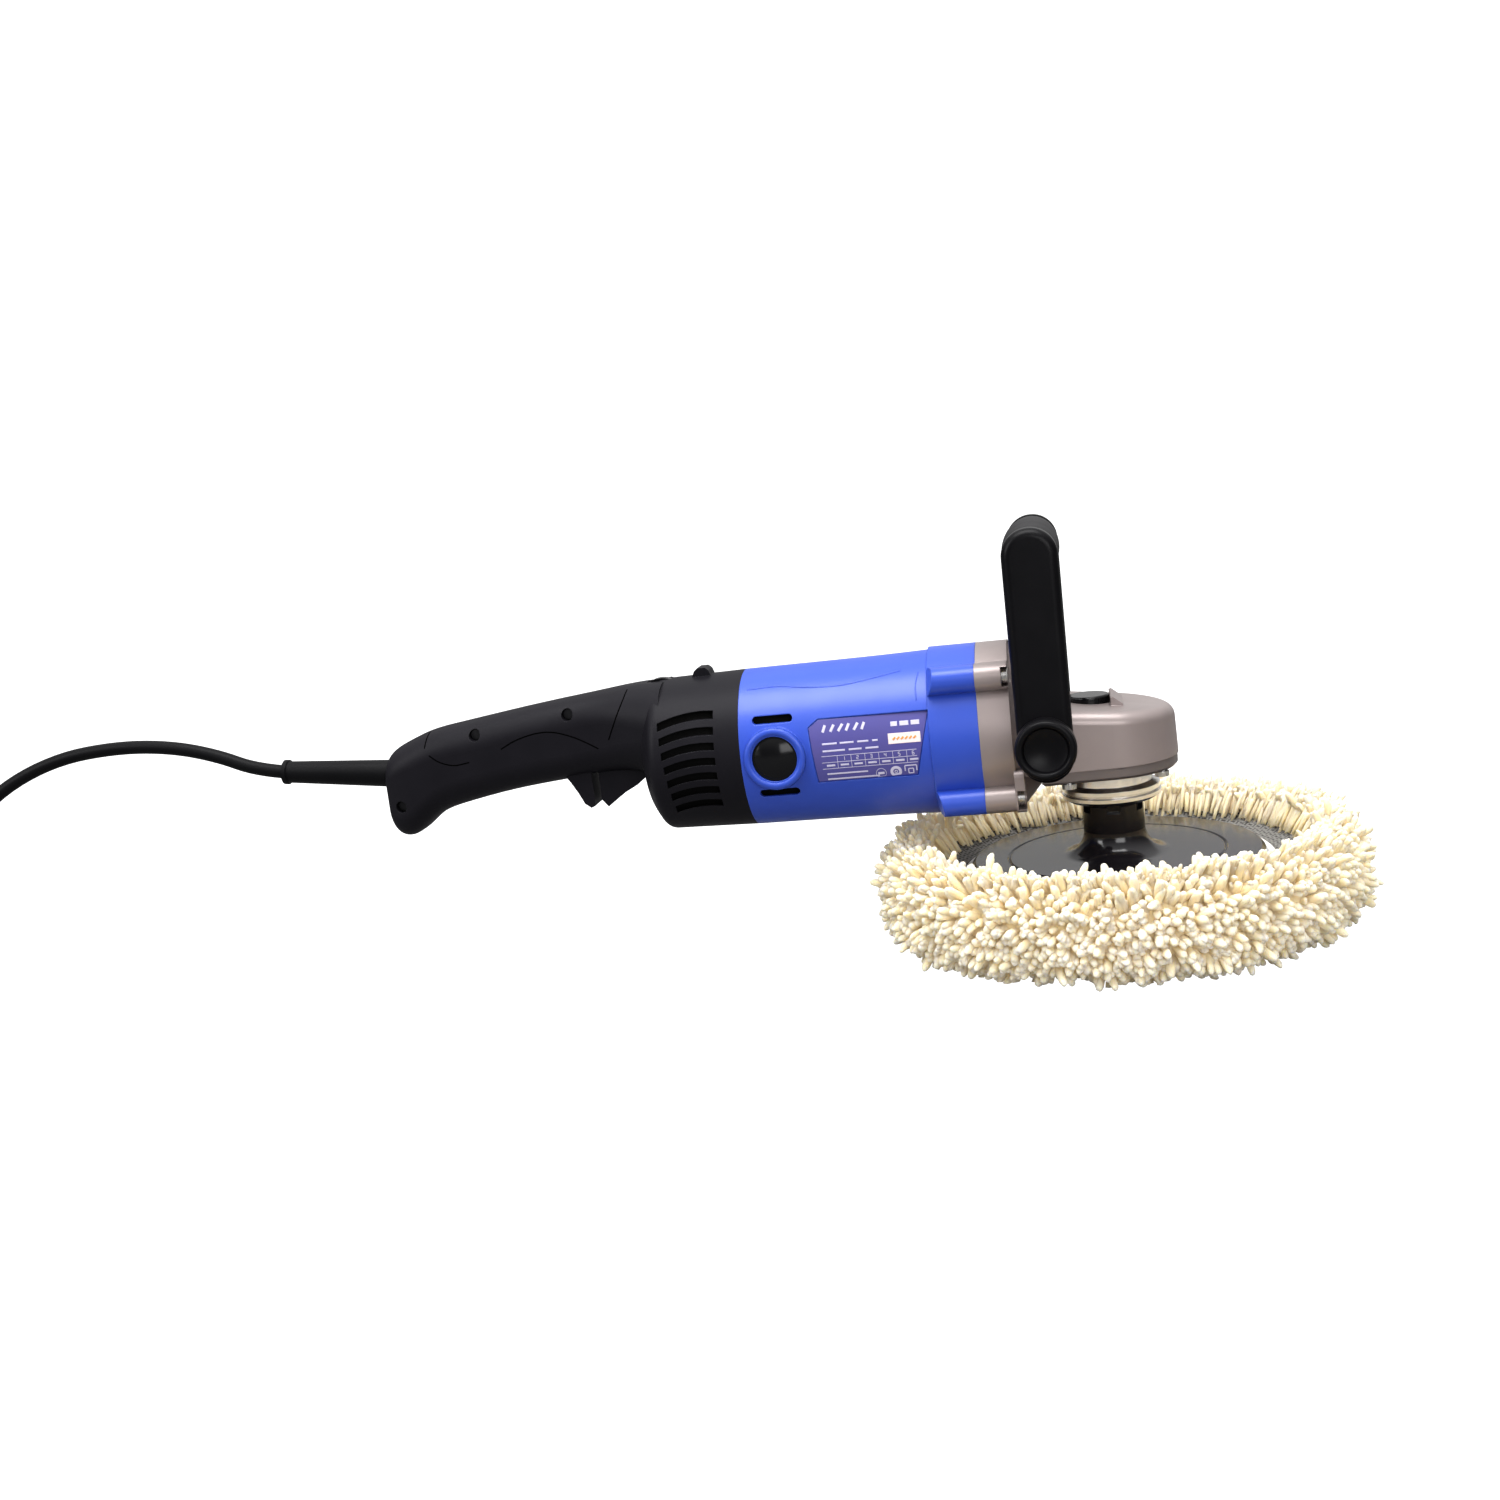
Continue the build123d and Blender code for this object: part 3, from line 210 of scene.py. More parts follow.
def startMaterial(name):
    made = bpy.data.materials.new(name)
    made.use_nodes = True
    tree = made.node_tree
    tree.nodes.clear()
    shader = tree.nodes.new("ShaderNodeBsdfPrincipled")
    output = tree.nodes.new("ShaderNodeOutputMaterial")
    tree.links.new(shader.outputs[0], output.inputs[0])
    point = tree.nodes.new("ShaderNodeTexCoord").outputs["Object"]
    return made, tree, shader, point


dustTone = (0.42, 0.4, 0.38)


def skinMaterial(name, look):
    # one moulded, cast or painted finish: base colour, slow tone change, dust, edge wear, grain
    made, tree, shader, point = startMaterial(name)
    grain = useGroup(tree, skinGrain, point=point, fine=look.get("fine", 900.0))
    edge = useGroup(tree, softEdge, point=point, radius=look.get("edge", 0.0005), wear=look.get("wear", 0.3))
    dust = useGroup(tree, settledDust, point=point, amount=look.get("dust", 0.1))
    tone = mixColour(tree, grain["shade"], look["colour"], look.get("second", look["colour"]))
    worn = mixColour(tree, edge["mask"], tone, look.get("worn", look["colour"]))
    dusty = mixColour(tree, dust["mask"], worn, dustTone)
    tree.links.new(dusty, shader.inputs["Base Color"])
    rough = mathNode(tree, "MULTIPLY_ADD", grain["shade"], look.get("roughSpread", 0.12),
                     look["rough"] - 0.06)
    tree.links.new(mathNode(tree, "ADD", rough, dust["mask"]), shader.inputs["Roughness"])
    shader.inputs["Metallic"].default_value = look.get("metal", 0.0)
    shader.inputs["Specular IOR Level"].default_value = look.get("specular", 0.5)
    bump = shaderNode(tree, "ShaderNodeBump", Height=grain["height"], Normal=edge["normal"],
                      Strength=look.get("bump", 0.3), Distance=look.get("deep", 0.00005))
    tree.links.new(bump.outputs[0], shader.inputs["Normal"])
    return made


looks = {
    "coverPaint": {"colour": (0.20, 0.17, 0.165), "second": (0.17, 0.15, 0.145), "worn": (0.5, 0.46, 0.44),
                   "rough": 0.36, "metal": 0.4, "fine": 1400.0, "bump": 0.35, "edge": 0.0006,
                   "dust": 0.05},
    "castPaint": {"colour": (0.34, 0.29, 0.28), "second": (0.30, 0.255, 0.25), "worn": (0.64, 0.59, 0.57),
                  "rough": 0.36, "metal": 0.4, "fine": 1400.0, "bump": 0.35, "edge": 0.0006, "wear": 0.35,
                  "dust": 0.1},
    "blueNylon": {"colour": (0.034, 0.088, 0.50), "second": (0.030, 0.078, 0.45), "worn": (0.12, 0.24, 0.78),
                  "rough": 0.34, "fine": 1700.0, "bump": 0.22, "edge": 0.0009, "wear": 0.4, "dust": 0.04,
                  "specular": 0.55},
    "blackNylon": {"colour": (0.0095, 0.009, 0.012), "second": (0.013, 0.012, 0.016),
                   "worn": (0.09, 0.088, 0.095), "rough": 0.46, "fine": 1500.0, "bump": 0.4,
                   "edge": 0.0006, "wear": 0.3, "dust": 0.012,
                   "specular": 0.15},
    "loopNylon": {"colour": (0.004, 0.004, 0.005), "second": (0.006, 0.0055, 0.007),
                  "worn": (0.05, 0.05, 0.055),
                  "rough": 0.34, "fine": 1500.0, "bump": 0.3, "edge": 0.0006, "wear": 0.25, "dust": 0.012,
                  "specular": 0.16},
    "gripRubber": {"colour": (0.011, 0.011, 0.012), "second": (0.016, 0.015, 0.017),
                   "worn": (0.05, 0.05, 0.05),
                   "rough": 0.5, "fine": 900.0, "bump": 0.5, "dust": 0.012, "specular": 0.16},
    "glossBlack": {"colour": (0.004, 0.004, 0.005), "second": (0.007, 0.007, 0.008),
                   "worn": (0.05, 0.05, 0.05),
                   "rough": 0.17, "roughSpread": 0.08, "fine": 500.0, "bump": 0.08, "dust": 0.01,
                   "edge": 0.0004,
                   "specular": 0.3},
    "plateGloss": {"colour": (0.008, 0.007, 0.009), "second": (0.012, 0.010, 0.014), "worn": (0.2, 0.18, 0.2),
                   "rough": 0.16, "roughSpread": 0.1, "fine": 300.0, "bump": 0.06, "dust": 0.05,
                   "edge": 0.0005,
                   "wear": 0.3},
    "cordRubber": {"colour": (0.005, 0.005, 0.006), "second": (0.008, 0.008, 0.009),
                   "worn": (0.04, 0.04, 0.04),
                   "rough": 0.44, "fine": 700.0, "bump": 0.25, "dust": 0.008, "specular": 0.12},
    "blackSteel": {"colour": (0.02, 0.02, 0.022), "second": (0.03, 0.03, 0.033), "rough": 0.38, "metal": 0.6,
                   "dust": 0.01},
    "hookTape": {"colour": (0.02, 0.02, 0.02), "second": (0.05, 0.05, 0.05), "rough": 0.9, "fine": 900.0,
                 "bump": 1.0, "deep": 0.0003, "dust": 0.3},
    "felt": {"colour": (0.5, 0.48, 0.42), "second": (0.42, 0.4, 0.35), "rough": 0.95, "fine": 1200.0,
             "bump": 0.9, "deep": 0.0002},
    "coreSteel": {"colour": (0.16, 0.16, 0.17), "second": (0.12, 0.12, 0.13), "rough": 0.5, "metal": 0.85},
    "bronze": {"colour": (0.55, 0.34, 0.13), "second": (0.45, 0.27, 0.10), "rough": 0.38, "metal": 0.95},
    "copper": {"colour": (0.62, 0.22, 0.08), "second": (0.5, 0.16, 0.05), "rough": 0.35, "metal": 0.9},
    "carbon": {"colour": (0.02, 0.02, 0.02), "second": (0.03, 0.03, 0.03), "rough": 0.6, "metal": 0.2},
    "boardGreen": {"colour": (0.02, 0.12, 0.05), "second": (0.03, 0.16, 0.07), "rough": 0.25},
    # painted shade: near black for the sheets behind the vent slots
    "ventShadeBlack": {"colour": (0.004, 0.004, 0.004), "second": (0.009, 0.009, 0.009), "rough": 0.8,
                   "fine": 1100.0,
                   "bump": 0.8, "specular": 0.1},
    "paleFoam": {"colour": (0.86, 0.85, 0.83), "second": (0.74, 0.73, 0.70), "rough": 0.85, "fine": 900.0,
                 "bump": 0.6, "deep": 0.0002},
    "labelFilm": {"colour": (0.085, 0.082, 0.30), "second": (0.105, 0.092, 0.28), "worn": (0.3, 0.3, 0.5),
                  "rough": 0.3, "fine": 1800.0, "bump": 0.1, "dust": 0.05},
    "labelWhite": {"colour": (0.62, 0.6, 0.74), "second": (0.54, 0.52, 0.68), "rough": 0.4, "bump": 0.05},
    "labelPaper": {"colour": (0.86, 0.74, 0.72), "second": (0.8, 0.68, 0.66), "rough": 0.5, "bump": 0.1},
    "labelOrange": {"colour": (0.85, 0.36, 0.10), "second": (0.78, 0.32, 0.09), "rough": 0.45, "bump": 0.1},
    "seamShadow": {"colour": (0.001, 0.001, 0.001), "second": (0.002, 0.002, 0.002), "rough": 0.9,
                   "dust": 0.0,
                   "specular": 0.02},
}
finish = {name: skinMaterial(name, look) for name, look in looks.items()}


def metalMaterial(name, colour, rough, lines, along):
    # turned or brushed metal: thin lines round the given axis, and soft smears
    made, tree, shader, point = startMaterial(name)
    parts = shaderNode(tree, "ShaderNodeSeparateXYZ", Vector=point)
    run = tree.nodes.new("ShaderNodeCombineXYZ")
    tree.links.new(mathNode(tree, "MULTIPLY", parts.outputs[along], lines), run.inputs[2])
    cut = shaderNode(tree, "ShaderNodeTexNoise", Vector=run.outputs[0], Scale=1.0, Detail=3.0)
    smear = shaderNode(tree, "ShaderNodeTexNoise", Vector=point, Scale=45.0, Detail=4.0)
    edge = useGroup(tree, softEdge, point=point, radius=0.0003, wear=0.2)
    tone = mixColour(tree, smear.outputs["Fac"], colour, tuple(c * 0.86 for c in colour))
    tree.links.new(mixColour(tree, edge["mask"], tone, (0.95, 0.94, 0.93)), shader.inputs["Base Color"])
    gloss = mathNode(tree, "MULTIPLY_ADD", cut.outputs["Fac"], 0.22, rough - 0.1)
    tree.links.new(gloss, shader.inputs["Roughness"])
    shader.inputs["Metallic"].default_value = 1.0
    bump = shaderNode(tree, "ShaderNodeBump", Height=cut.outputs["Fac"], Normal=edge["normal"],
                      Strength=0.25, Distance=0.00004)
    tree.links.new(bump.outputs[0], shader.inputs["Normal"])
    return made


finish["turnedAluminium"] = metalMaterial("turnedAluminium", (0.86, 0.84, 0.82), 0.2, 2600.0, 2)
finish["machinedSteel"] = metalMaterial("machinedSteel", (0.56, 0.55, 0.54), 0.28, 1800.0, 0)
finish["pinMetal"] = metalMaterial("pinMetal", (0.78, 0.74, 0.62), 0.2, 900.0, 0)

nodeFinish = {
    "castPaint": "gear_housing",
    "coverPaint": "gear_cover",
    "turnedAluminium": "spindle_collar",
    "machinedSteel": "spindle spindle_bearing front_bearing rear_bearing bearing_plate flange_screws cover_screws "
                     "crown_gear pinion gear_clip armature_shaft hub_insert trigger_pin dial_pin "
                     "trigger_spring lock_spring brush_springs cord_clamp",
    "blackSteel": "handle_screws",
    "coreSteel": "armature_core stator_core",
    "bronze": "spindle_bush brush_holders",
    "copper": "armature_windings field_coils commutator",
    "carbon": "carbon_brushes",
    "felt": "dust_seal",
    "blueNylon": "motor_housing",
    "labelFilm": "rating_plate",
    "blackNylon": "handle_shell_left handle_shell_right trigger lock_on_button switch_body cooling_fan fan_baffle "
                  "cord_tie plug_body",
    "loopNylon": "loop_handle knob_right knob_left",
    "gripRubber": "loop_grip",
    "glossBlack": "spindle_lock_button brush_cap_right brush_cap_left speed_dial",
    "plateGloss": "backing_plate",
    "boardGreen": "control_board",
    "hookTape": "hook_disc",
    "cordRubber": "cord_guard cord cord_tail cord_coil",
    "pinMetal": "plug_pins",
}
for name, members in nodeFinish.items():
    for node in members.split():
        cadNodes[node].data.materials.clear()
        cadNodes[node].data.materials.append(finish[name])
print("finishes made:", len(finish))


def addPiece(name, points, faces, material, body, smooth=True, attributes=None):
    # points in millimetres; faces as a list or an array of corner numbers
    mesh = bpy.data.meshes.new(name)
    mesh.from_pydata((np.asarray(points) * mm).tolist(), [], [list(map(int, f)) for f in faces])
    mesh.polygons.foreach_set("use_smooth", np.full(len(mesh.polygons), smooth))
    for label, values in (attributes or {}).items():
        layer = mesh.attributes.new(label, "FLOAT", "POINT")
        layer.data.foreach_set("value", np.asarray(values, np.float32))
    mesh.materials.append(material)
    mesh.update()
    piece = bpy.data.objects.new(name, mesh)
    bpy.context.scene.collection.objects.link(piece)
    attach(piece, body)
    return piece


def gridFaces(rows, columns, wrapRows=False, wrapColumns=True):
    # the four corners of each cell of a grid whose points run along a row first
    r = np.arange(rows if wrapRows else rows - 1)[:, None]
    c = np.arange(columns if wrapColumns else columns - 1)[None, :]
    r2, c2 = (r + 1) % rows, (c + 1) % columns
    return np.stack([r * columns + c, r * columns + c2, r2 * columns + c2, r2 * columns + c],
                    -1).reshape(-1, 4)


def smoothLine(points, count):
    # a cubic line through the points, evenly spaced along its length
    p = np.asarray(points, float)
    before, after = 2 * p[0] - p[1], 2 * p[-1] - p[-2]
    q = np.vstack([before, p, after])
    t = np.linspace(0, len(p) - 1 - 1e-9, 40 * len(p))
    i = t.astype(int)
    f = (t - i)[:, None]
    a, b, c, d = q[i], q[i + 1], q[i + 2], q[i + 3]
    square, cube = 2 * a - 5 * b + 4 * c - d, 3 * b - a - 3 * c + d
    line = 0.5 * (2 * b + (c - a) * f + square * f ** 2 + cube * f ** 3)
    run = np.concatenate([[0], np.cumsum(np.linalg.norm(np.diff(line, axis=0), axis=1))])
    at = np.linspace(0, run[-1], count)
    return np.stack([np.interp(at, run, line[:, k]) for k in range(p.shape[1])], 1)


def roundTube(line, radius, sides):
    # circles of the radius carried along the line, square to it, with a fan of faces at each end
    line = np.asarray(line, float)
    radius = np.broadcast_to(radius, len(line))[:, None, None]
    way = np.gradient(line, axis=0)
    way /= np.linalg.norm(way, axis=1)[:, None]
    side = np.cross(way, np.where(np.abs(way[:, 2:]) > 0.9, [[1.0, 0, 0]], [[0, 0, 1.0]]))
    side /= np.linalg.norm(side, axis=1)[:, None]
    up = np.cross(side, way)
    turn = np.arange(sides) / sides * 2 * math.pi
    ring = side[:, None] * np.cos(turn)[None, :, None] + up[:, None] * np.sin(turn)[None, :, None]
    points = (line[:, None] + ring * radius).reshape(-1, 3)
    faces = gridFaces(len(line), sides)[:, ::-1].tolist()
    faces.append(list(range(sides)))
    faces.append(list(range(len(points) - 1, len(points) - 1 - sides, -1)))
    return points, faces


def joined(parts):
    # several (points, faces) as one
    points, faces, start = [], [], 0
    for p, f in parts:
        points.append(np.asarray(p))
        faces += [[start + i for i in face] for face in f]
        start += len(p)
    return np.vstack(points), faces


# everything in the settings below is in millimetres
cordLook = {
    "diameter": 8.0,
    "route": [
        (-478, 0, 121.6), (-497, 0, 124.6), (-519, 0.5, 134.5), (-548, 0, 142.6), (-583, -1, 145.6),
        (-624, -4, 142), (-663, -9, 126), (-693, -15, 99), (-714, -21, 68), (-733, -26, 46),
        (-753, -30, 35), (-777, -33, 31), (-800, -36, 29.8), (-823, -43, 24.0),
    ],
    "coilCentre": (-806.0, -78.0),
    "perTurn": 16,
    # turns, start and end radius, start and end height of each layer of the coil, from the top down
    "layers": [
        (1.2, 36.6, 46.8, 21.0, 21.0),
        (0.3, 46.8, 53.4, 21.0, 13.0),
        (1.9, 53.4, 37.2, 13.0, 13.0),
        (0.25, 37.2, 37.2, 13.0, 5.0),
        (1.7667, 37.2, 52.3, 5.0, 5.0),
    ],
    "startDegrees": 120.0,
    "spread": 1.019,  # the curve runs a little inside its points, so they stand a little outside the coil
    "widens": 1.6,  # between layers the radius changes first
    "falls": 0.35,  # and the height only after this share of the way
    "tail": [(-790, -130.4, 5.0), (-777, -128.6, 5.6), (-766, -126.2, 8.2), (-755, -125, 10)],
}


def coilPoints():
    # a circle about the coil's centre whose radius and height change from layer to layer
    cx, cy = cordLook["coilCentre"]
    step = 1 / cordLook["perTurn"]
    turned, points = 0.0, []
    total = sum(layer[0] for layer in cordLook["layers"])
    for at in np.arange(step, total - step / 3, step):
        left = at
        for turns, r0, r1, z0, z1 in cordLook["layers"]:
            if left <= turns:
                break
            left -= turns
        share = left / turns
        early = min(1.0, share * cordLook["widens"])
        late = max(0.0, (share - cordLook["falls"]) / (1 - cordLook["falls"]))
        falls = z0 != z1 and r0 != r1
        r = r0 + (r1 - r0) * (early if falls else share)
        z = z0 + (z1 - z0) * (late if falls else share)
        angle = math.radians(cordLook["startDegrees"]) + 2 * math.pi * at
        r *= cordLook["spread"]
        points.append((cx + r * math.cos(angle), cy + r * math.sin(angle), z))
    return points


def makeCord():
    route = cordLook["route"] + coilPoints() + cordLook["tail"]
    data = bpy.data.curves.new("mainCord", "CURVE")
    data.dimensions = "3D"
    line = data.splines.new("NURBS")
    line.points.add(len(route) - 1)
    for spot, place in zip(line.points, route):
        spot.co = (*[v * mm for v in place], 1)
    line.order_u = 3
    line.use_endpoint_u = True
    line.resolution_u = 6
    data.bevel_depth = cordLook["diameter"] / 2 * mm
    data.bevel_resolution = 5
    data.use_fill_caps = True
    data.materials.append(finish["cordRubber"])
    piece = bpy.data.objects.new("mainCord", data)
    bpy.context.scene.collection.objects.link(piece)
    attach(piece, "root")
    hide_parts("cord", "cord_tail", "cord_coil")


makeCord()
print("cord laid")


woolLook = {
    "sides": 6,
    "rings": 6,
    # root radius and height, lean out and up, length, thickness, along the pile from the inner lip to the face
    "stations": [
        (109.0, 38.5, -0.22, 1.00, 13.0, 1.95),
        (111.5, 38.5, 0.10, 1.00, 15.0, 2.05),
        (114.0, 36.5, 0.50, 0.86, 16.0, 2.1),
        (115.0, 31.5, 0.88, 0.48, 15.8, 2.15),
        (114.5, 24.5, 1.00, 0.08, 15.8, 2.2),
        (112.5, 17.5, 0.97, -0.22, 16.8, 2.2),
        (107.5, 13.5, 0.78, -0.50, 15.2, 2.2),
        (99.0, 11.5, 0.30, -0.95, 11.6, 2.3),
    ],
    "rows": 31,
    "spacing": 3.3,
    # the face under the pad: outer and inner radius of its rings, then the same values as a station
    "faceRows": 15,
    "faceRadii": (93, 5),
    "facePile": (12.0, 0.15, -1.0, 11.6, 3.1),
    "faceSpacing": 6.0,
    "faceLoose": 0.8,
    # combed strands that line the inside of the lip: root radius and height, length
    "strandRows": [(98.0, 34.5, 17.0), (100.5, 36.0, 17.5), (103.0, 37.5, 17.5), (105.5, 39.5, 16.5),
                   (108.0, 41.5, 15.5), (110.0, 43.0, 14.5)],
    "strandLean": (0.55, 0.86),
    "strandThick": 1.15,
    "strandSpacing": 2.4,
    "strandLoose": 0.35,
    # a tuft's thickness at each ring, and how far along it that ring stands
    "girth": [0.82, 1.0, 1.06, 1.0, 0.80, 0.42],
    "reach": [0, 0.38, 0.70, 0.87, 0.95, 0.99],
    "twist": 2.2,
    "lobe": 0.10,
    "stray": 1.2,  # how far a root leaves its even place
    # half the outline of the stuffing, as radius and height from pole to pole
    "stuffing": [(0, 27), (78, 27), (95, 29.5), (105, 37), (110, 44), (117, 45), (123.5, 34), (123.5, 20),
                 (115, 9), (96, 4.5), (0, 4.5)],
    "stuffingRows": 40,
    "stuffingColumns": 96,
    "floorGap": 0.25,
    "lift": 5.5,  # how much taller the pile stands at the front lip
}


def tuftPoints(root, way, length, thick, bend):
    # a lobed tube from root along way, bending over by bend, swelling and then closing to a round tip
    count, rings, sides = len(root), woolLook["rings"], woolLook["sides"]
    way = way / np.linalg.norm(way, axis=1)[:, None]
    helper = np.where(np.abs(way[:, 2:]) > 0.85, [[1.0, 0, 0]], [[0, 0, 1.0]])
    side = np.cross(way, helper)
    side /= np.linalg.norm(side, axis=1)[:, None]
    up = np.cross(side, way)
    t = np.linspace(0, 1, rings)
    girth, reach = np.array(woolLook["girth"]), np.array(woolLook["reach"])
    centre = (root[:, None] + way[:, None] * (length[:, None] * reach)[..., None]
              + bend[:, None] * (length[:, None] * reach ** 2)[..., None])
    start = dice.uniform(0, 2 * math.pi, count)[:, None]
    twist = start + dice.choice([-1, 1], count)[:, None] * t[None] * woolLook["twist"]
    corner = np.arange(sides) / sides * 2 * math.pi
    angle = twist[..., None] + corner
    lobe = 1 + woolLook["lobe"] * np.cos(3 * corner)
    size = thick[:, None] * girth[None]
    ring = (side[:, None, None] * np.cos(angle)[..., None] + up[:, None, None] * np.sin(angle)[..., None])
    ring = ring * (size[..., None] * lobe)[..., None]
    body = (centre[:, :, None] + ring).reshape(count, -1, 3)
    tip = root + way * length[:, None] + bend * length[:, None]
    points = np.concatenate([body, tip[:, None]], 1)
    perTuft = rings * sides + 1
    grid = gridFaces(rings, sides)
    last = (rings - 1) * sides
    fan = np.array([[last + i, last + (i + 1) % sides, perTuft - 1] for i in range(sides)])
    foot = np.arange(sides)[::-1]
    shift = np.arange(count)[:, None, None] * perTuft
    faces = ((grid[None] + shift).reshape(-1, 4).tolist() + (fan[None] + shift).reshape(-1, 3).tolist()
             + (foot[None, None] + shift).reshape(-1, sides).tolist())
    along = np.concatenate([np.repeat(t, sides), [1.0]])
    return points.reshape(-1, 3), faces, np.tile(along, count), np.repeat(dice.uniform(0, 1, count), perTuft)


def ringRoots(radius, height, out, up, length, thick, spacing, loose):
    # one ring of roots round the spindle, each a little off its even place, with its lean
    count = int(2 * math.pi * max(radius, 3) / spacing)
    angle = (np.arange(count) + dice.uniform(-0.45, 0.45, count) + dice.uniform(0, 1)) / count * 2 * math.pi
    front = 0.5 - 0.5 * np.sin(angle)
    r = radius + dice.normal(0, woolLook["stray"], count)
    z = height + dice.normal(0, woolLook["stray"], count)
    root = np.stack([r * np.cos(angle), r * np.sin(angle), z], 1)
    clump = 0.13 * np.sin(9 * angle + height / 3) + 0.12 * np.sin(23 * angle + radius / 3)
    swing = clump * loose + dice.normal(0, 0.13 * loose, count)
    radial = np.stack([np.cos(angle), np.sin(angle), 0 * angle], 1)
    around = np.stack([-np.sin(angle), np.cos(angle), 0 * angle], 1)
    outs = out + dice.normal(0, 0.11 * loose, count)
    ups = up + dice.normal(0, 0.11 * loose, count)
    way = radial * outs[:, None] + around * swing[:, None] + np.array([0, 0, 1.0]) * ups[:, None]
    bend = dice.normal(0, 0.13 * loose, (count, 3)) + np.array([0, 0, -0.10])
    high = max(0.0, up) * max(0.0, height - 28) / 12
    lumpy = 0.05 * np.sin(5 * angle + 1) + 0.05 * np.sin(13 * angle + height / 4)
    long = length * (dice.uniform(0.86, 1.09, count) + lumpy) + woolLook["lift"] * front * high
    return root, way, long, thick * dice.uniform(0.85, 1.12, count), bend


def makeWool():
    look, sets = woolLook, []
    for spot in smoothLine(look["stations"], look["rows"]):
        sets.append(ringRoots(*spot, look["spacing"], 1.0))
    for radius in np.linspace(*look["faceRadii"], look["faceRows"]):
        sets.append(ringRoots(radius, *look["facePile"], look["faceSpacing"], look["faceLoose"]))
    for radius, height, length in look["strandRows"]:
        sets.append(ringRoots(radius, height, *look["strandLean"], length, look["strandThick"],
                              look["strandSpacing"], look["strandLoose"]))
    root, way, length, thick, bend = (np.concatenate([s[k] for s in sets]) for k in range(5))
    points, faces, tip, tone = tuftPoints(root, way, length, thick, bend)
    # the stuffing under the tufts: a closed ring turned about the spindle
    inner = smoothLine(look["stuffing"], look["stuffingRows"])
    columns = look["stuffingColumns"]
    turn = np.arange(columns) / columns * 2 * math.pi
    r, z = inner[1:-1, :1], inner[1:-1, 1:]
    core = np.stack([r * np.cos(turn), r * np.sin(turn), z + 0 * turn], -1).reshape(-1, 3)
    start = len(points)
    coreFaces = gridFaces(len(r), columns)[:, ::-1] + start
    top, low = start + len(core), start + len(core) + 1  # the two poles
    last = start + (len(r) - 1) * columns
    caps = [[start + i, start + (i + 1) % columns, top] for i in range(columns)]
    caps += [[last + (i + 1) % columns, last + i, low] for i in range(columns)]
    poles = [[0, 0, look["stuffing"][0][1]], [0, 0, look["stuffing"][-1][1]]]
    points = np.vstack([points, core, poles])
    points[:, 2] = np.maximum(points[:, 2], look["floorGap"])
    # the stuffing takes the dark tan end of the painted shade between the tufts
    tip = np.concatenate([tip, np.full(len(core) + 2, 0.1)])
    tone = np.concatenate([tone, np.full(len(core) + 2, 0.5)])
    return addPiece("woolPile", points, faces + coreFaces.tolist() + caps, finish["wool"], "spindle",
                    attributes={"tuftTipShade": tip, "tuftTone": tone})


def woolMaterial():
    # cream pile: painted shade, tan deep between the tufts and pale at the tips; each tuft its own tone, fine
    # fibres
    made, tree, shader, point = startMaterial("wool")
    tip = shaderNode(tree, "ShaderNodeAttribute", {"attribute_name": "tuftTipShade"}).outputs["Fac"]
    tone = shaderNode(tree, "ShaderNodeAttribute", {"attribute_name": "tuftTone"}).outputs["Fac"]
    # painted shade: the ramp darkens the pile to tan towards the tuft roots, where shade falls between the tufts
    ramp = tree.nodes.new("ShaderNodeValToRGB")
    stops = ramp.color_ramp.elements
    stops[0].position, stops[0].color = 0.0, (0.80, 0.63, 0.36, 1)
    stops[1].position, stops[1].color = 1.0, (0.92, 0.83, 0.66, 1)
    middle = stops.new(0.6)
    middle.color = (0.88, 0.76, 0.53, 1)
    tree.links.new(tip, ramp.inputs[0])
    warm = mixColour(tree, tone, (1.0, 0.97, 0.88), (1.0, 1.0, 1.0))
    base = mixColour(tree, 1.0, ramp.outputs[0], warm, "MULTIPLY")
    patches = shaderNode(tree, "ShaderNodeTexNoise", Vector=point, Scale=28.0, Detail=3.0)
    base = mixColour(tree, mathNode(tree, "MULTIPLY", patches.outputs["Fac"], 0.35), base, (0.94, 0.86, 0.78))
    tree.links.new(base, shader.inputs["Base Color"])
    tree.links.new(base, shader.inputs["Emission Color"])  # painted glow: the wool gives off a little light of its own colour, lifting the shade deep in the pile
    shader.inputs["Emission Strength"].default_value = 0.05
    fibres = shaderNode(tree, "ShaderNodeTexNoise", Vector=point, Scale=1100.0, Detail=4.0)
    rough = mathNode(tree, "MULTIPLY_ADD", fibres.outputs["Fac"], 0.15, 0.8)
    tree.links.new(rough, shader.inputs["Roughness"])
    shader.inputs["Sheen Weight"].default_value = 0.25
    shader.inputs["Sheen Roughness"].default_value = 0.5
    shader.inputs["Subsurface Weight"].default_value = 0.5
    shader.inputs["Subsurface Radius"].default_value = (0.006, 0.0045, 0.0025)
    shader.inputs["Subsurface Scale"].default_value = 1.0
    shader.inputs["Specular IOR Level"].default_value = 0.2
    bump = shaderNode(tree, "ShaderNodeBump", Height=fibres.outputs["Fac"], Strength=0.7, Distance=0.0006)
    tree.links.new(bump.outputs[0], shader.inputs["Normal"])
    return made


finish["wool"] = woolMaterial()
woolPile = makeWool()
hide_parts("wool_pad")
print("wool made:", len(woolPile.data.polygons), "faces")


backingLook = {
    "columns": 300,
    "thick": 1.5,
    # the top's outline as radius and height: flat, then up the slope to the rim
    "flat": [(2, 30.35), (40, 30.35), (72, 30.35)],
    "slope": [(82, 30.4), (89, 30.9), (97, 33.0), (105, 38.0), (110.6, 43.0)],
    "rim": (111.6, 43.6),
    "overhang": 0.35,  # the underside of the slope stands this much further out
    "ripples": 31,
    "rippleTall": 0.25,
    "rippleFrom": 100,
    "rippleOver": 12,
    "weavePitch": 3.4,
    "trueAt": 100,  # radius where the weave has its true pitch round the ring
}


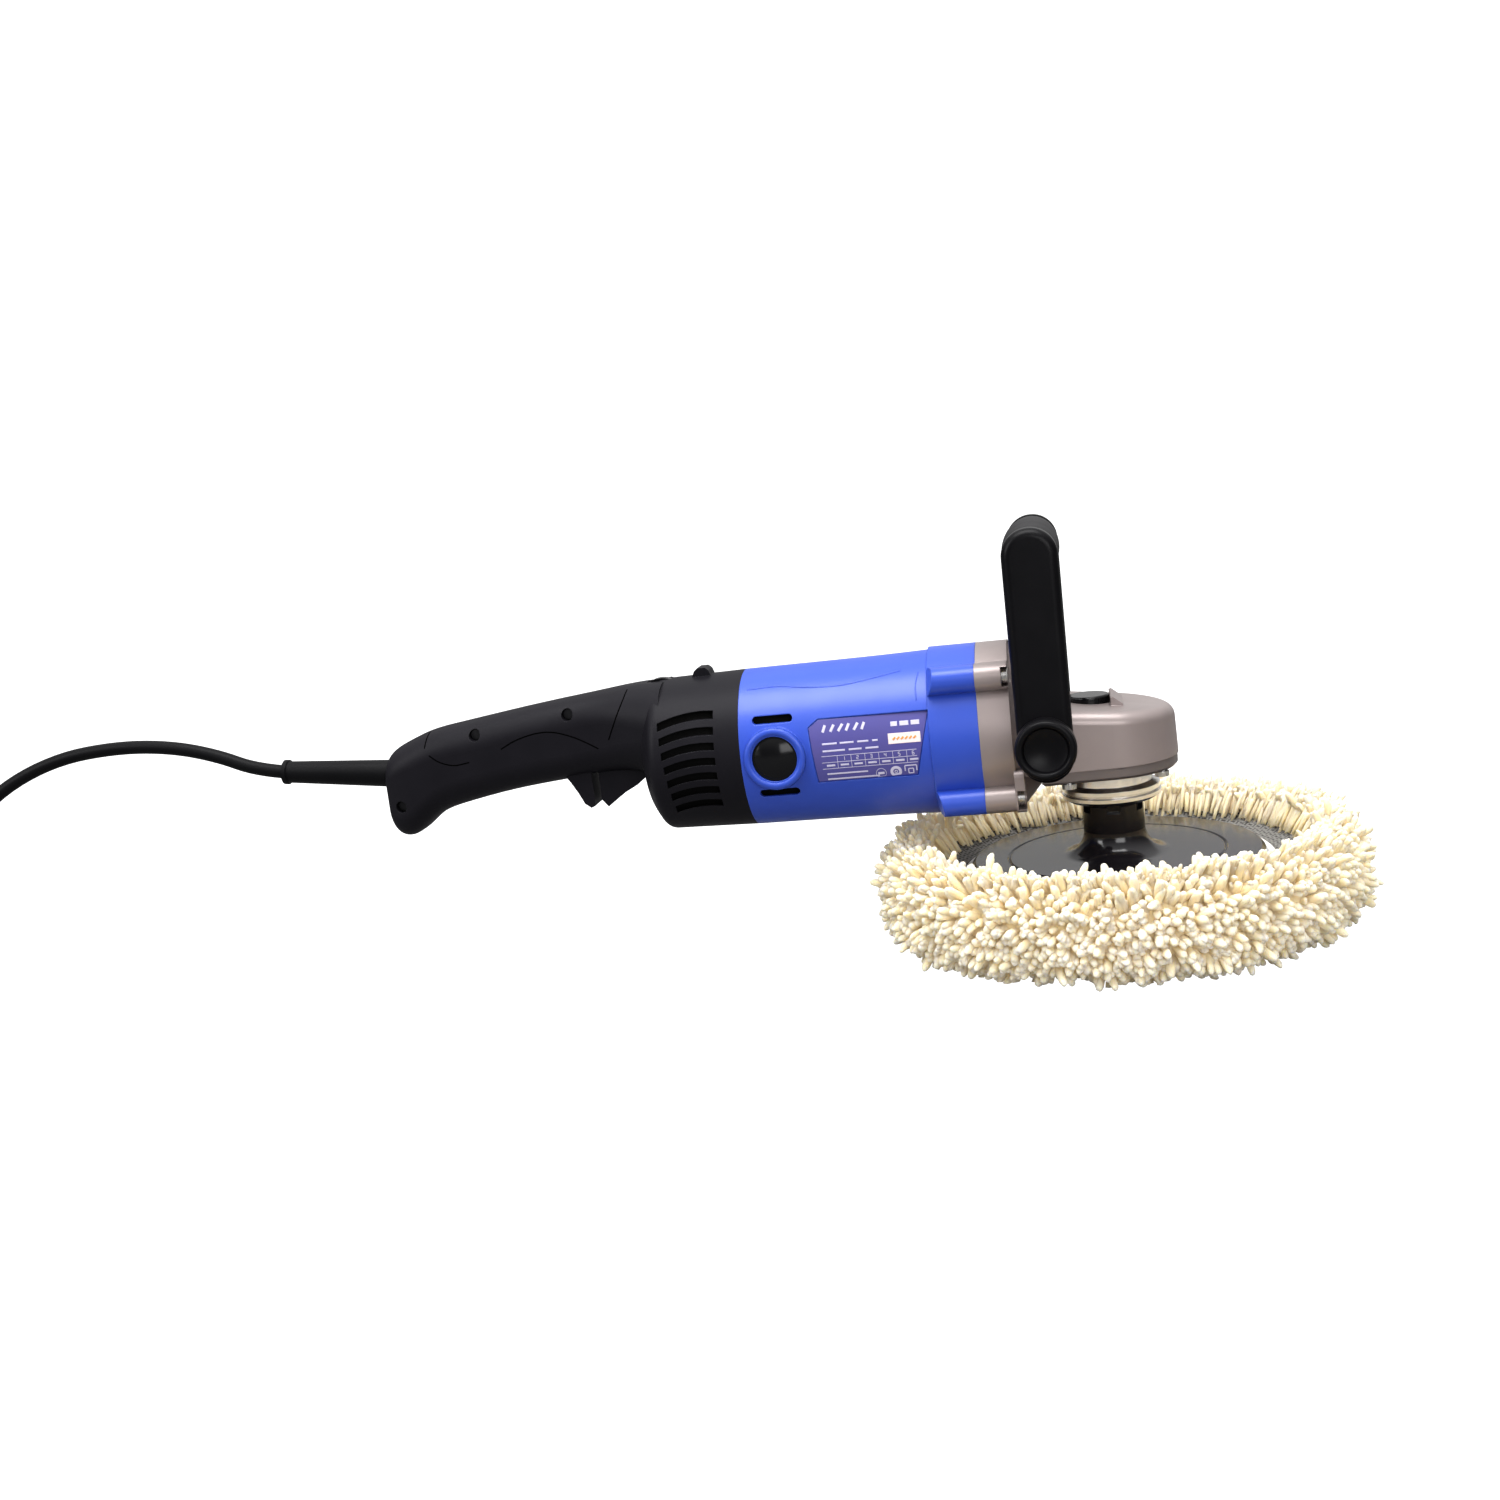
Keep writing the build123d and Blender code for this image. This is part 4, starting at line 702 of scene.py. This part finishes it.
def weaveMaterial():
    # plain weave on the piece's own map: warp and weft ribs that go over and under by turns
    made, tree, shader, point = startMaterial("wovenBacking")
    uv = tree.nodes.new("ShaderNodeUVMap")
    uv.uv_map = "cloth"
    parts = shaderNode(tree, "ShaderNodeSeparateXYZ", Vector=uv.outputs[0])
    u = mathNode(tree, "MULTIPLY", parts.outputs[0], math.pi)
    v = mathNode(tree, "MULTIPLY", parts.outputs[1], math.pi)
    su, sv = mathNode(tree, "SINE", u), mathNode(tree, "SINE", v)
    over = mathNode(tree, "MULTIPLY", mathNode(tree, "COSINE", u), mathNode(tree, "COSINE", v))
    above, below = mathNode(tree, "MULTIPLY_ADD", over, 0.5, 0.5), mathNode(tree, "MULTIPLY_ADD", over,
                                                                            -0.5, 0.5)
    warp = mathNode(tree, "MULTIPLY", mathNode(tree, "ABSOLUTE", su), above)
    weft = mathNode(tree, "MULTIPLY", mathNode(tree, "ABSOLUTE", sv), below)
    height = mathNode(tree, "MAXIMUM", warp, weft)
    frayed = shaderNode(tree, "ShaderNodeTexNoise", Vector=point, Scale=900.0, Detail=3.0)
    tint = mixColour(tree, frayed.outputs["Fac"], (0.36, 0.35, 0.33), (0.55, 0.54, 0.51))
    # painted shade: the colour goes near black where the weave is low, for the shade in the hollows between the
    # threads
    tree.links.new(mixColour(tree, mathNode(tree, "POWER", height, 1.3), (0.02, 0.019, 0.018), tint),
                   shader.inputs["Base Color"])
    rough = mathNode(tree, "MULTIPLY_ADD", frayed.outputs["Fac"], 0.1, 0.82)
    tree.links.new(rough, shader.inputs["Roughness"])
    bump = shaderNode(tree, "ShaderNodeBump", Height=height, Strength=0.8, Distance=0.0006)
    tree.links.new(bump.outputs[0], shader.inputs["Normal"])
    return made


finish["weave"] = weaveMaterial()


def makeBacking():
    # one closed skin turned about the spindle: out along the top, round the rim and back underneath
    lay = backingLook
    top = smoothLine(lay["slope"], 16)
    low = top + np.array([[lay["overhang"], -lay["thick"]]])
    flatTop = np.array(lay["flat"])
    flatLow = flatTop + [[0, -lay["thick"]]]
    line = np.vstack([flatTop, top, [lay["rim"]], low[::-1], flatLow[::-1]])
    count = lay["columns"]
    turn = np.arange(count) / count * 2 * math.pi
    r, z = line[:, :1], line[:, 1:]
    grows = np.clip((r - lay["rippleFrom"]) / lay["rippleOver"], 0, 1)
    wave = lay["rippleTall"] * np.sin(lay["ripples"] * turn) * grows
    points = np.stack([r * np.cos(turn), r * np.sin(turn), z + wave], -1).reshape(-1, 3)
    faces = gridFaces(len(line), count, wrapRows=True).tolist()
    piece = addPiece("padCloth", points, faces, finish["weave"], "spindle")
    cloth = piece.data.uv_layers.new(name="cloth")
    corners = np.zeros(len(piece.data.loops), np.int32)
    piece.data.loops.foreach_get("vertex_index", corners)
    run = np.concatenate([[0], np.cumsum(np.linalg.norm(np.diff(line, axis=0), axis=1))]) / lay["weavePitch"]
    row, column = corners // count, corners % count
    # an even number of threads fits round the ring, so the weave meets itself
    pairs = round(2 * math.pi * lay["trueAt"] / lay["weavePitch"] / 2)
    around = column * (pairs * 2 / count)
    # the last cell of each ring runs on past the seam instead of back across the map
    cell = around.reshape(-1, 4)
    crossing = (cell.max(1) - cell.min(1)) > pairs
    whole = cell.max() + cell.max() / (count - 1)
    cell[crossing] = np.where(cell[crossing] < pairs, whole, cell[crossing])
    cloth.data.foreach_set("uv", np.stack([cell.ravel(), run[row]], 1).ravel().astype(np.float32))
    return piece


padCloth = makeBacking()
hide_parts("pad_backing")
print("backing made")


def skinOf(*names):
    # one search tree over the named CAD nodes, in millimetres
    points, faces = [], []
    for name in names:
        mesh, start = cadNodes[name].data, len(points)
        flat = np.zeros(len(mesh.vertices) * 3, np.float32)
        mesh.vertices.foreach_get("co", flat)
        place = np.array(cadNodes[name].matrix_world)
        flat = flat.reshape(-1, 3) @ place[:3, :3].T + place[:3, 3]
        points += (flat / mm).tolist()
        faces += [[start + i for i in face.vertices] for face in mesh.polygons]
    return BVHTree.FromPolygons(points, faces)


def onSkin(skin, x, z, away):
    # the point of the near side at x and z, stood off along its normal
    hit, normal, _, _ = skin.ray_cast(Vector((x, -300, z)), Vector((0, 1, 0)))
    if hit is None:
        return None
    return np.array(hit) + np.array(normal) * away * (1 if normal.y < 0 else -1)


def skinBand(skin, line, wide, proud=0.12, deep=0.15):
    # a closed strip of the given width along a line of x and z, its outer face just proud of the skin
    line = np.asarray(line, float)
    way = np.gradient(line, axis=0)
    way /= np.linalg.norm(way, axis=1)[:, None]
    side = np.stack([-way[:, 1], way[:, 0]], 1) * wide / 2
    rows = []
    for offset, away in ((1, -deep), (1, proud), (-1, proud), (-1, -deep)):
        rows.append([onSkin(skin, *(spot + offset * s), away) for spot, s in zip(line, side)])
    kept = [i for i in range(len(line)) if all(row[i] is not None for row in rows)]
    points = np.array([[row[i] for row in rows] for i in kept]).reshape(-1, 3)
    faces = gridFaces(len(kept), 4).tolist()
    faces += [[3, 2, 1, 0], [len(points) - 4, len(points) - 3, len(points) - 2, len(points) - 1]]
    return points, faces


def addBands(name, bands, material, body):
    piece = addPiece(name, *joined(bands), finish[material], body, smooth=False)
    shape = bmesh.new()
    shape.from_mesh(piece.data)
    bmesh.ops.recalc_face_normals(shape, faces=shape.faces)
    shape.to_mesh(piece.data)
    shape.free()
    return piece


def straight(x0, z0, x1, z1, step=2.5):
    count = max(2, int(math.hypot(x1 - x0, z1 - z0) / step) + 1)
    return np.stack([np.linspace(x0, x1, count), np.linspace(z0, z1, count)], 1)


def circleLine(x, z, radius, count):
    turn = np.linspace(0, 2 * math.pi, count)
    return np.stack([x + radius * np.cos(turn), z + radius * np.sin(turn)], 1)


plateLook = {
    "left": -149.5,
    "right": -97.5,
    "tableTop": 112.4,
    "rowTall": 3.5,
    "columns": 7,
    "markTall": 127.6,
    "digitTall": 1.9,
    "sticker": (-114.0, 116.2, -96.8, 121.8),
    "slants": 6,  # slanted bars of the wordless mark
    "slantPitch": 4.2,
    "dashTall": 126.6,
    "dashes": [(-112.2, -108.6), (-107.4, -102.6), (-101.4, -96.8)],
    # height of each line, then where its dashes start and stop from the plate's left
    "lines": [(119.0, ((0, 8), (9.5, 17), (19, 25), (27, 30))), (115.2, ((0, 12), (14, 21), (23, 30)))],
    "footLines": [(102.4, 22.0), (99.4, 28.0), (96.4, 14.0)],
    # circles as x, z, radius, corners and width of line
    "circles": [(-119.6, 100.6, 2.7, 20, 0.3), (-111.6, 100.9, 2.35, 20, 1.6), (-111.6, 100.9, 0.7, 10, 0.5)],
    "signBar": (-121.3, 100.6, -117.9, 100.6),
    "squareAt": (-103.6, 100.7),
    "squares": [(3.1, 0.7), (1.3, 0.6)],  # half side and width of line
    "inkBars": 6,
}
# which of the seven bars each digit shows: top, upper left, upper right, middle, lower left, lower right, foot
digitBars = {1: "0010010", 2: "1011101", 3: "1011011", 4: "0111010", 5: "1101011", 6: "1101111"}


def digitLines(digit, x, z, tall):
    half, wide = tall / 2, tall * 0.5
    bars = [(x, z + half, x + wide, z + half), (x, z, x, z + half), (x + wide, z, x + wide, z + half),
            (x, z, x + wide, z), (x, z - half, x, z), (x + wide, z - half, x + wide, z),
            (x, z - half, x + wide, z - half)]
    return [bar for bar, shown in zip(bars, digitBars[digit]) if shown == "1"]


def makePlateMarks():
    # a wordless mark, rows of plain dashes, a table of speeds from 1 to 6, and three plain signs
    look = plateLook
    skin = skinOf("rating_plate")
    left, right, top, tall = look["left"], look["right"], look["tableTop"], look["rowTall"]
    white = []
    for step in range(look["slants"]):
        x = left + 0.8 + step * look["slantPitch"]
        slant = 1.5 + (0.5 * step) % 1.2
        white.append((straight(x, look["markTall"] - 2.4, x + slant, look["markTall"] + 1.2), 1.5))
    for x0, x1 in look["dashes"]:
        white.append((straight(x0, look["dashTall"], x1, look["dashTall"]), 2.4))
    for z, ends in look["lines"]:
        for a, b in ends:
            white.append((straight(left + a, z, left + b, z), 1.0))
    for row in range(3):
        white.append((straight(left - 1, top - row * tall, right + 0.5, top - row * tall), 0.34))
    pitch = (right - left) / look["columns"]
    for column in range(look["columns"]):
        x = left + column * pitch
        if column:
            white.append((straight(x, top, x, top - 2 * tall), 0.3))
            for bar in digitLines(column, x + pitch * 0.4, top - tall / 2, look["digitTall"]):
                white.append((straight(*bar), 0.4))
        white.append((straight(x + 1.4, top - 1.5 * tall, x + pitch - 1.5, top - 1.5 * tall), 1.1))
    for z, long in look["footLines"]:
        white.append((straight(left + 1, z, left + 1 + long, z), 0.9))
    for x, z, radius, corners, wide in look["circles"]:
        white.append((circleLine(x, z, radius, corners), wide))
    white.append((straight(*look["signBar"]), 1.4))
    x, z = look["squareAt"]
    for half, wide in look["squares"]:
        for a, b, c, d in ((-1, -1, 1, -1), (1, -1, 1, 1), (1, 1, -1, 1), (-1, 1, -1, -1)):
            white.append((straight(x + a * half, z + b * half, x + c * half, z + d * half), wide))
    addBands("plateMarks", [skinBand(skin, line, wide, 0.06) for line, wide in white], "labelWhite", "root")
    x0, z0, x1, z1 = look["sticker"]
    middle = (z0 + z1) / 2
    paper = skinBand(skin, straight(x0, middle, x1, middle), z1 - z0, 0.10)
    addBands("plateSticker", [paper], "labelPaper", "root")
    ink = []
    for i in range(look["inkBars"]):
        bar = straight(x0 + 2.4 + 2.2 * i, middle - 0.6, x0 + 3.8 + 2.2 * i, middle + 0.6)
        ink.append(skinBand(skin, bar, 0.9, 0.16))
    addBands("stickerInk", ink, "labelOrange", "root")


seamLook = {
    "gripSeams": [
        [(-259.5, 157.5), (-262.0, 149.2), (-266.1, 140.5), (-272.6, 127.5)],
        [(-336.7, 127.1), (-327.2, 131.5), (-314.9, 134.4), (-304.9, 134.2), (-294.8, 131.0), (-286.6, 126.9),
         (-279.5, 122.8)],
        [(-381.7, 140.5), (-382.9, 131.0)],
        [(-380.2, 127.0), (-374.0, 122.5), (-365.8, 120.1), (-356.6, 121.1)],
    ],
    "barrelCrease": [(-190.0, 149.4), (-173.4, 149.8), (-158.0, 148.3), (-139.3, 147.7), (-120.3, 149.9),
                     (-106.0, 152.0)],
    "blockCrease": [(-96.5, 150.5), (-98.0, 144.5), (-97.6, 137.5)],
}


def makeSeams():
    skin = skinOf("handle_shell_left", "handle_shell_right")
    bands = [skinBand(skin, smoothLine(line, 26), 0.7, 0.05, 0.3) for line in seamLook["gripSeams"]]
    addBands("gripSeams", bands, "seamShadow", "root")
    barrel = skinOf("motor_housing")
    crease = [skinBand(barrel, smoothLine(seamLook["barrelCrease"], 40), 0.7, 0.16, 0.3),
              skinBand(barrel, smoothLine(seamLook["blockCrease"], 16), 0.8, 0.2, 0.3)]
    addBands("barrelCreases", crease, "blueNylon", "root")


makePlateMarks()
makeSeams()
print("plate marks and seams made")

# near-black screens behind the drum's slots and behind the barrel's, painted shade for the dark inside of the
# housing: radius, ends along the axis, first and last degrees
screenLook = {
    "thick": 0.6,
    "middle": -1.5,
    "spans": [(38.6, -244.0, -205.0, -52, 52), (39.6, -189.0, -162.0, 22, 38),
              (39.6, -189.0, -162.0, -37, -21)],
}


def makeScreens():
    # curved near-black screens behind the slots of each side: painted shade, standing in for the shade inside the
    # housing
    parts = []
    for side in (-1, 1):
        for radius, x0, x1, first, last in screenLook["spans"]:
            turn = np.radians(np.linspace(first, last, 2 + (last - first) // 4))
            inside = radius - screenLook["thick"]
            loop = np.array([(x0, radius), (x1, radius), (x1, inside), (x0, inside)])
            x, r = np.tile(loop[:, 0], len(turn)), np.tile(loop[:, 1], len(turn))
            a = np.repeat(turn, 4)
            points = np.stack([x, side * r * np.cos(a), motorZ + screenLook["middle"] + r * np.sin(a)], 1)
            faces = gridFaces(len(turn), 4).tolist()
            faces += [[3, 2, 1, 0], [len(points) - 4, len(points) - 3, len(points) - 2, len(points) - 1]]
            parts.append((points, faces))
    addBands("ventShadeScreens", parts, "ventShadeBlack", "root")


def ringPiece(name, centre, axis, outline, count, material, body):
    # a closed outline of radius and height turned about an axis through the centre
    turn = np.arange(count) / count * 2 * math.pi
    r, h = np.array(outline)[:, :1], np.array(outline)[:, 1:]
    a, b, c = r * np.cos(turn), r * np.sin(turn), h + 0 * turn
    spots = {"z": (a, b, c), "y": (a, c, b), "x": (c, a, b)}[axis]
    points = np.stack(spots, -1).reshape(-1, 3) + np.array(centre)
    piece = addBands(name, [(points, gridFaces(len(outline), count, wrapRows=True).tolist())], material, body)
    piece.data.polygons.foreach_set("use_smooth", np.full(len(piece.data.polygons), True))
    return piece


# outlines of the rims as radius and height
rimLook = {
    "foam": [(79.6, 31.4), (83.0, 31.6), (84.2, 32.4), (83.4, 33.2), (79.6, 33.0)],
    "knob": [(11.0, 69.8), (12.4, 71.6), (13.6, 72.0), (14.9, 71.5), (15.5, 70.2), (15.3, 68.8),
             (12.0, 68.8)],
    "knobAt": (-32, 0, 111),
    "cap": [(12.9, -0.6), (13.2, 0.5), (14.6, 0.9), (16.2, 0.5), (17.0, -0.6)],
    "capX": -175.7,
    "capReach": 14.4,  # how far from the cap's middle the housing's skin is measured
}


def makeKnobRim(side, body):
    rim = [(r, side * y) for r, y in rimLook["knob"]]
    ringPiece("knobRim" + body[-5:], rimLook["knobAt"], "y", rim, 64, "loopNylon", body)


def makeCapRim(side, ending):
    # a raised collar round the brush cap, standing on the barrel's flat
    spot = onSkin(skinOf("motor_housing"), rimLook["capX"] + rimLook["capReach"], motorZ, 0)
    rim = [(r, side * (abs(spot[1]) + h)) for r, h in rimLook["cap"]]
    ringPiece("capRim" + ending, (rimLook["capX"], 0, motorZ), "y", rim, 72, "blueNylon", "root")


def makeRims():
    # the pale rim of the pad's foam round the plate, then each side's knob and brush cap
    ringPiece("foamRim", (0, 0, 0), "z", rimLook["foam"], 160, "paleFoam", "spindle")
    for side, body in ((-1, "knob_right"), (1, "knob_left")):
        makeKnobRim(side, body)
        makeCapRim(side, body[-5:])


makeScreens()
makeRims()
print("screens and rims made")


# wound springs in place of plain sleeves: middle, mean radius, wire radius, foot, top, turns, joint,
# height of the end that stays put, and the share of its length kept when pressed
springLook = {
    "lock_spring": ((-14.5, 0), 4.05, 0.4, 112.5, 122.4, 5, "spindle_lock_press", 112.5, 0.58),
    "trigger_spring": ((-274.0, 0), 2.8, 0.35, 108.1, 123.4, 8, "trigger_pull", 123.4, 0.85),
}


def makeSprings():
    # a helix about z that rises evenly from foot to top
    for node, (place, radius, wire, foot, top, turns, joint, fixed, keep) in springLook.items():
        t = np.linspace(0, 1, turns * 20 + 1)
        angle = t * turns * 2 * math.pi
        line = np.stack([place[0] + radius * np.cos(angle), place[1] + radius * np.sin(angle),
                         foot + wire + t * (top - foot - 2 * wire)], 1)
        name = node.replace("_spring", "Coil")
        piece = addPiece(name, *roundTube(line, wire, 8), finish["machinedSteel"], "root")
        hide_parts(node)
        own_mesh(piece)


makeSprings()
print("springs wound")


stageLook = {
    "floor": 14.0,  # half its width in metres
    # heading of each bright panel, how narrow it is and its strength
    "panels": [(-0.87, -0.49, 0.93, 1.1), (0.80, -0.60, 0.955, 0.9), (0.2, 0.98, 0.84, 0.42)],
}


def makeStage():
    # a wide flat floor with a slow swell in its tone
    made, tree, shader, point = startMaterial("paleFloor")
    tone = shaderNode(tree, "ShaderNodeTexNoise", Vector=point, Scale=1.2, Detail=2.0)
    tree.links.new(mixColour(tree, tone.outputs["Fac"], (0.17, 0.17, 0.17), (0.20, 0.20, 0.20)),
                   shader.inputs["Base Color"])
    shader.inputs["Roughness"].default_value = 0.85
    shader.inputs["Specular IOR Level"].default_value = 0.1
    shader.inputs["Emission Color"].default_value = (1, 1, 1, 1)
    seen = tree.nodes.new("ShaderNodeLightPath").outputs["Is Camera Ray"]  # white backdrop that lights little
    tree.links.new(mathNode(tree, "MULTIPLY_ADD", seen, 0.93, 0.04), shader.inputs["Emission Strength"])
    half = stageLook["floor"]
    side = np.linspace(-half, half, 9)
    gx, gy = np.meshgrid(side, side)
    mesh = bpy.data.meshes.new("studioFloor")
    mesh.from_pydata(np.stack([gx.ravel(), gy.ravel(), 0 * gx.ravel()], 1).tolist(), [],
                     gridFaces(9, 9, wrapColumns=False).tolist())
    mesh.materials.append(made)
    floor = bpy.data.objects.new("studioFloor", mesh)
    bpy.context.scene.collection.objects.link(floor)


def makeWorld():
    # seen straight on it is white; as light it is a bright ceiling over dim walls with tall bright panels
    world = bpy.data.worlds.new("studioSky")
    world.use_nodes = True
    tree = world.node_tree
    tree.nodes.clear()
    way = tree.nodes.new("ShaderNodeTexCoord").outputs["Generated"]
    parts = shaderNode(tree, "ShaderNodeSeparateXYZ", Vector=way)
    x, y, z = (parts.outputs[k] for k in "XYZ")
    ceiling = mathNode(tree, "MULTIPLY_ADD", z, 1.6, -0.35, clamp=True)
    strength = mathNode(tree, "MULTIPLY_ADD", ceiling, 1.0, 0.16)
    for px, py, narrow, gain in stageLook["panels"]:
        along = mathNode(tree, "ADD", mathNode(tree, "MULTIPLY", x, px), mathNode(tree, "MULTIPLY", y, py))
        spot = mathNode(tree, "MULTIPLY", mathNode(tree, "SUBTRACT", along, narrow), 14.0, clamp=True)
        strength = mathNode(tree, "ADD", strength, mathNode(tree, "MULTIPLY", spot, gain))
    sky = shaderNode(tree, "ShaderNodeBackground", Color=(1, 1, 1, 1), Strength=strength)
    seen = shaderNode(tree, "ShaderNodeBackground", Color=(1, 1, 1, 1), Strength=1.0)
    path = tree.nodes.new("ShaderNodeLightPath")
    mix = tree.nodes.new("ShaderNodeMixShader")
    out = tree.nodes.new("ShaderNodeOutputWorld")
    tree.links.new(path.outputs["Is Camera Ray"], mix.inputs[0])
    tree.links.new(sky.outputs[0], mix.inputs[1])
    tree.links.new(seen.outputs[0], mix.inputs[2])
    tree.links.new(mix.outputs[0], out.inputs[0])
    bpy.context.scene.world = world


lightLook = [
    # name, place, target, width, height, watts
    ("overheadBox", (-0.15, -0.35, 1.6), (-0.15, 0.0, 0.1), 1.5, 0.9, 25.0),
    ("frontBox", (0.5, -1.6, 0.55), (-0.05, 0.0, 0.05), 1.0, 0.6, 8.5),
    ("leftBox", (-1.5, -0.9, 0.9), (-0.2, 0.0, 0.12), 0.5, 0.9, 8.0),
]


def makeLights():
    for name, place, target, width, height, watts in lightLook:
        data = bpy.data.lights.new(name, "AREA")
        data.shape, data.size, data.size_y, data.energy = "RECTANGLE", width, height, watts
        lamp = bpy.data.objects.new(name, data)
        bpy.context.scene.collection.objects.link(lamp)
        lamp.location = place
        lamp.rotation_euler = (Vector(target) - Vector(place)).to_track_quat("-Z", "Y").to_euler()


makeStage()
makeWorld()
makeLights()
bpy.context.scene.view_settings.view_transform = "Standard"
bpy.context.scene.view_settings.look = "Medium High Contrast"
print("stage lit")

bpy.context.view_layer.update()
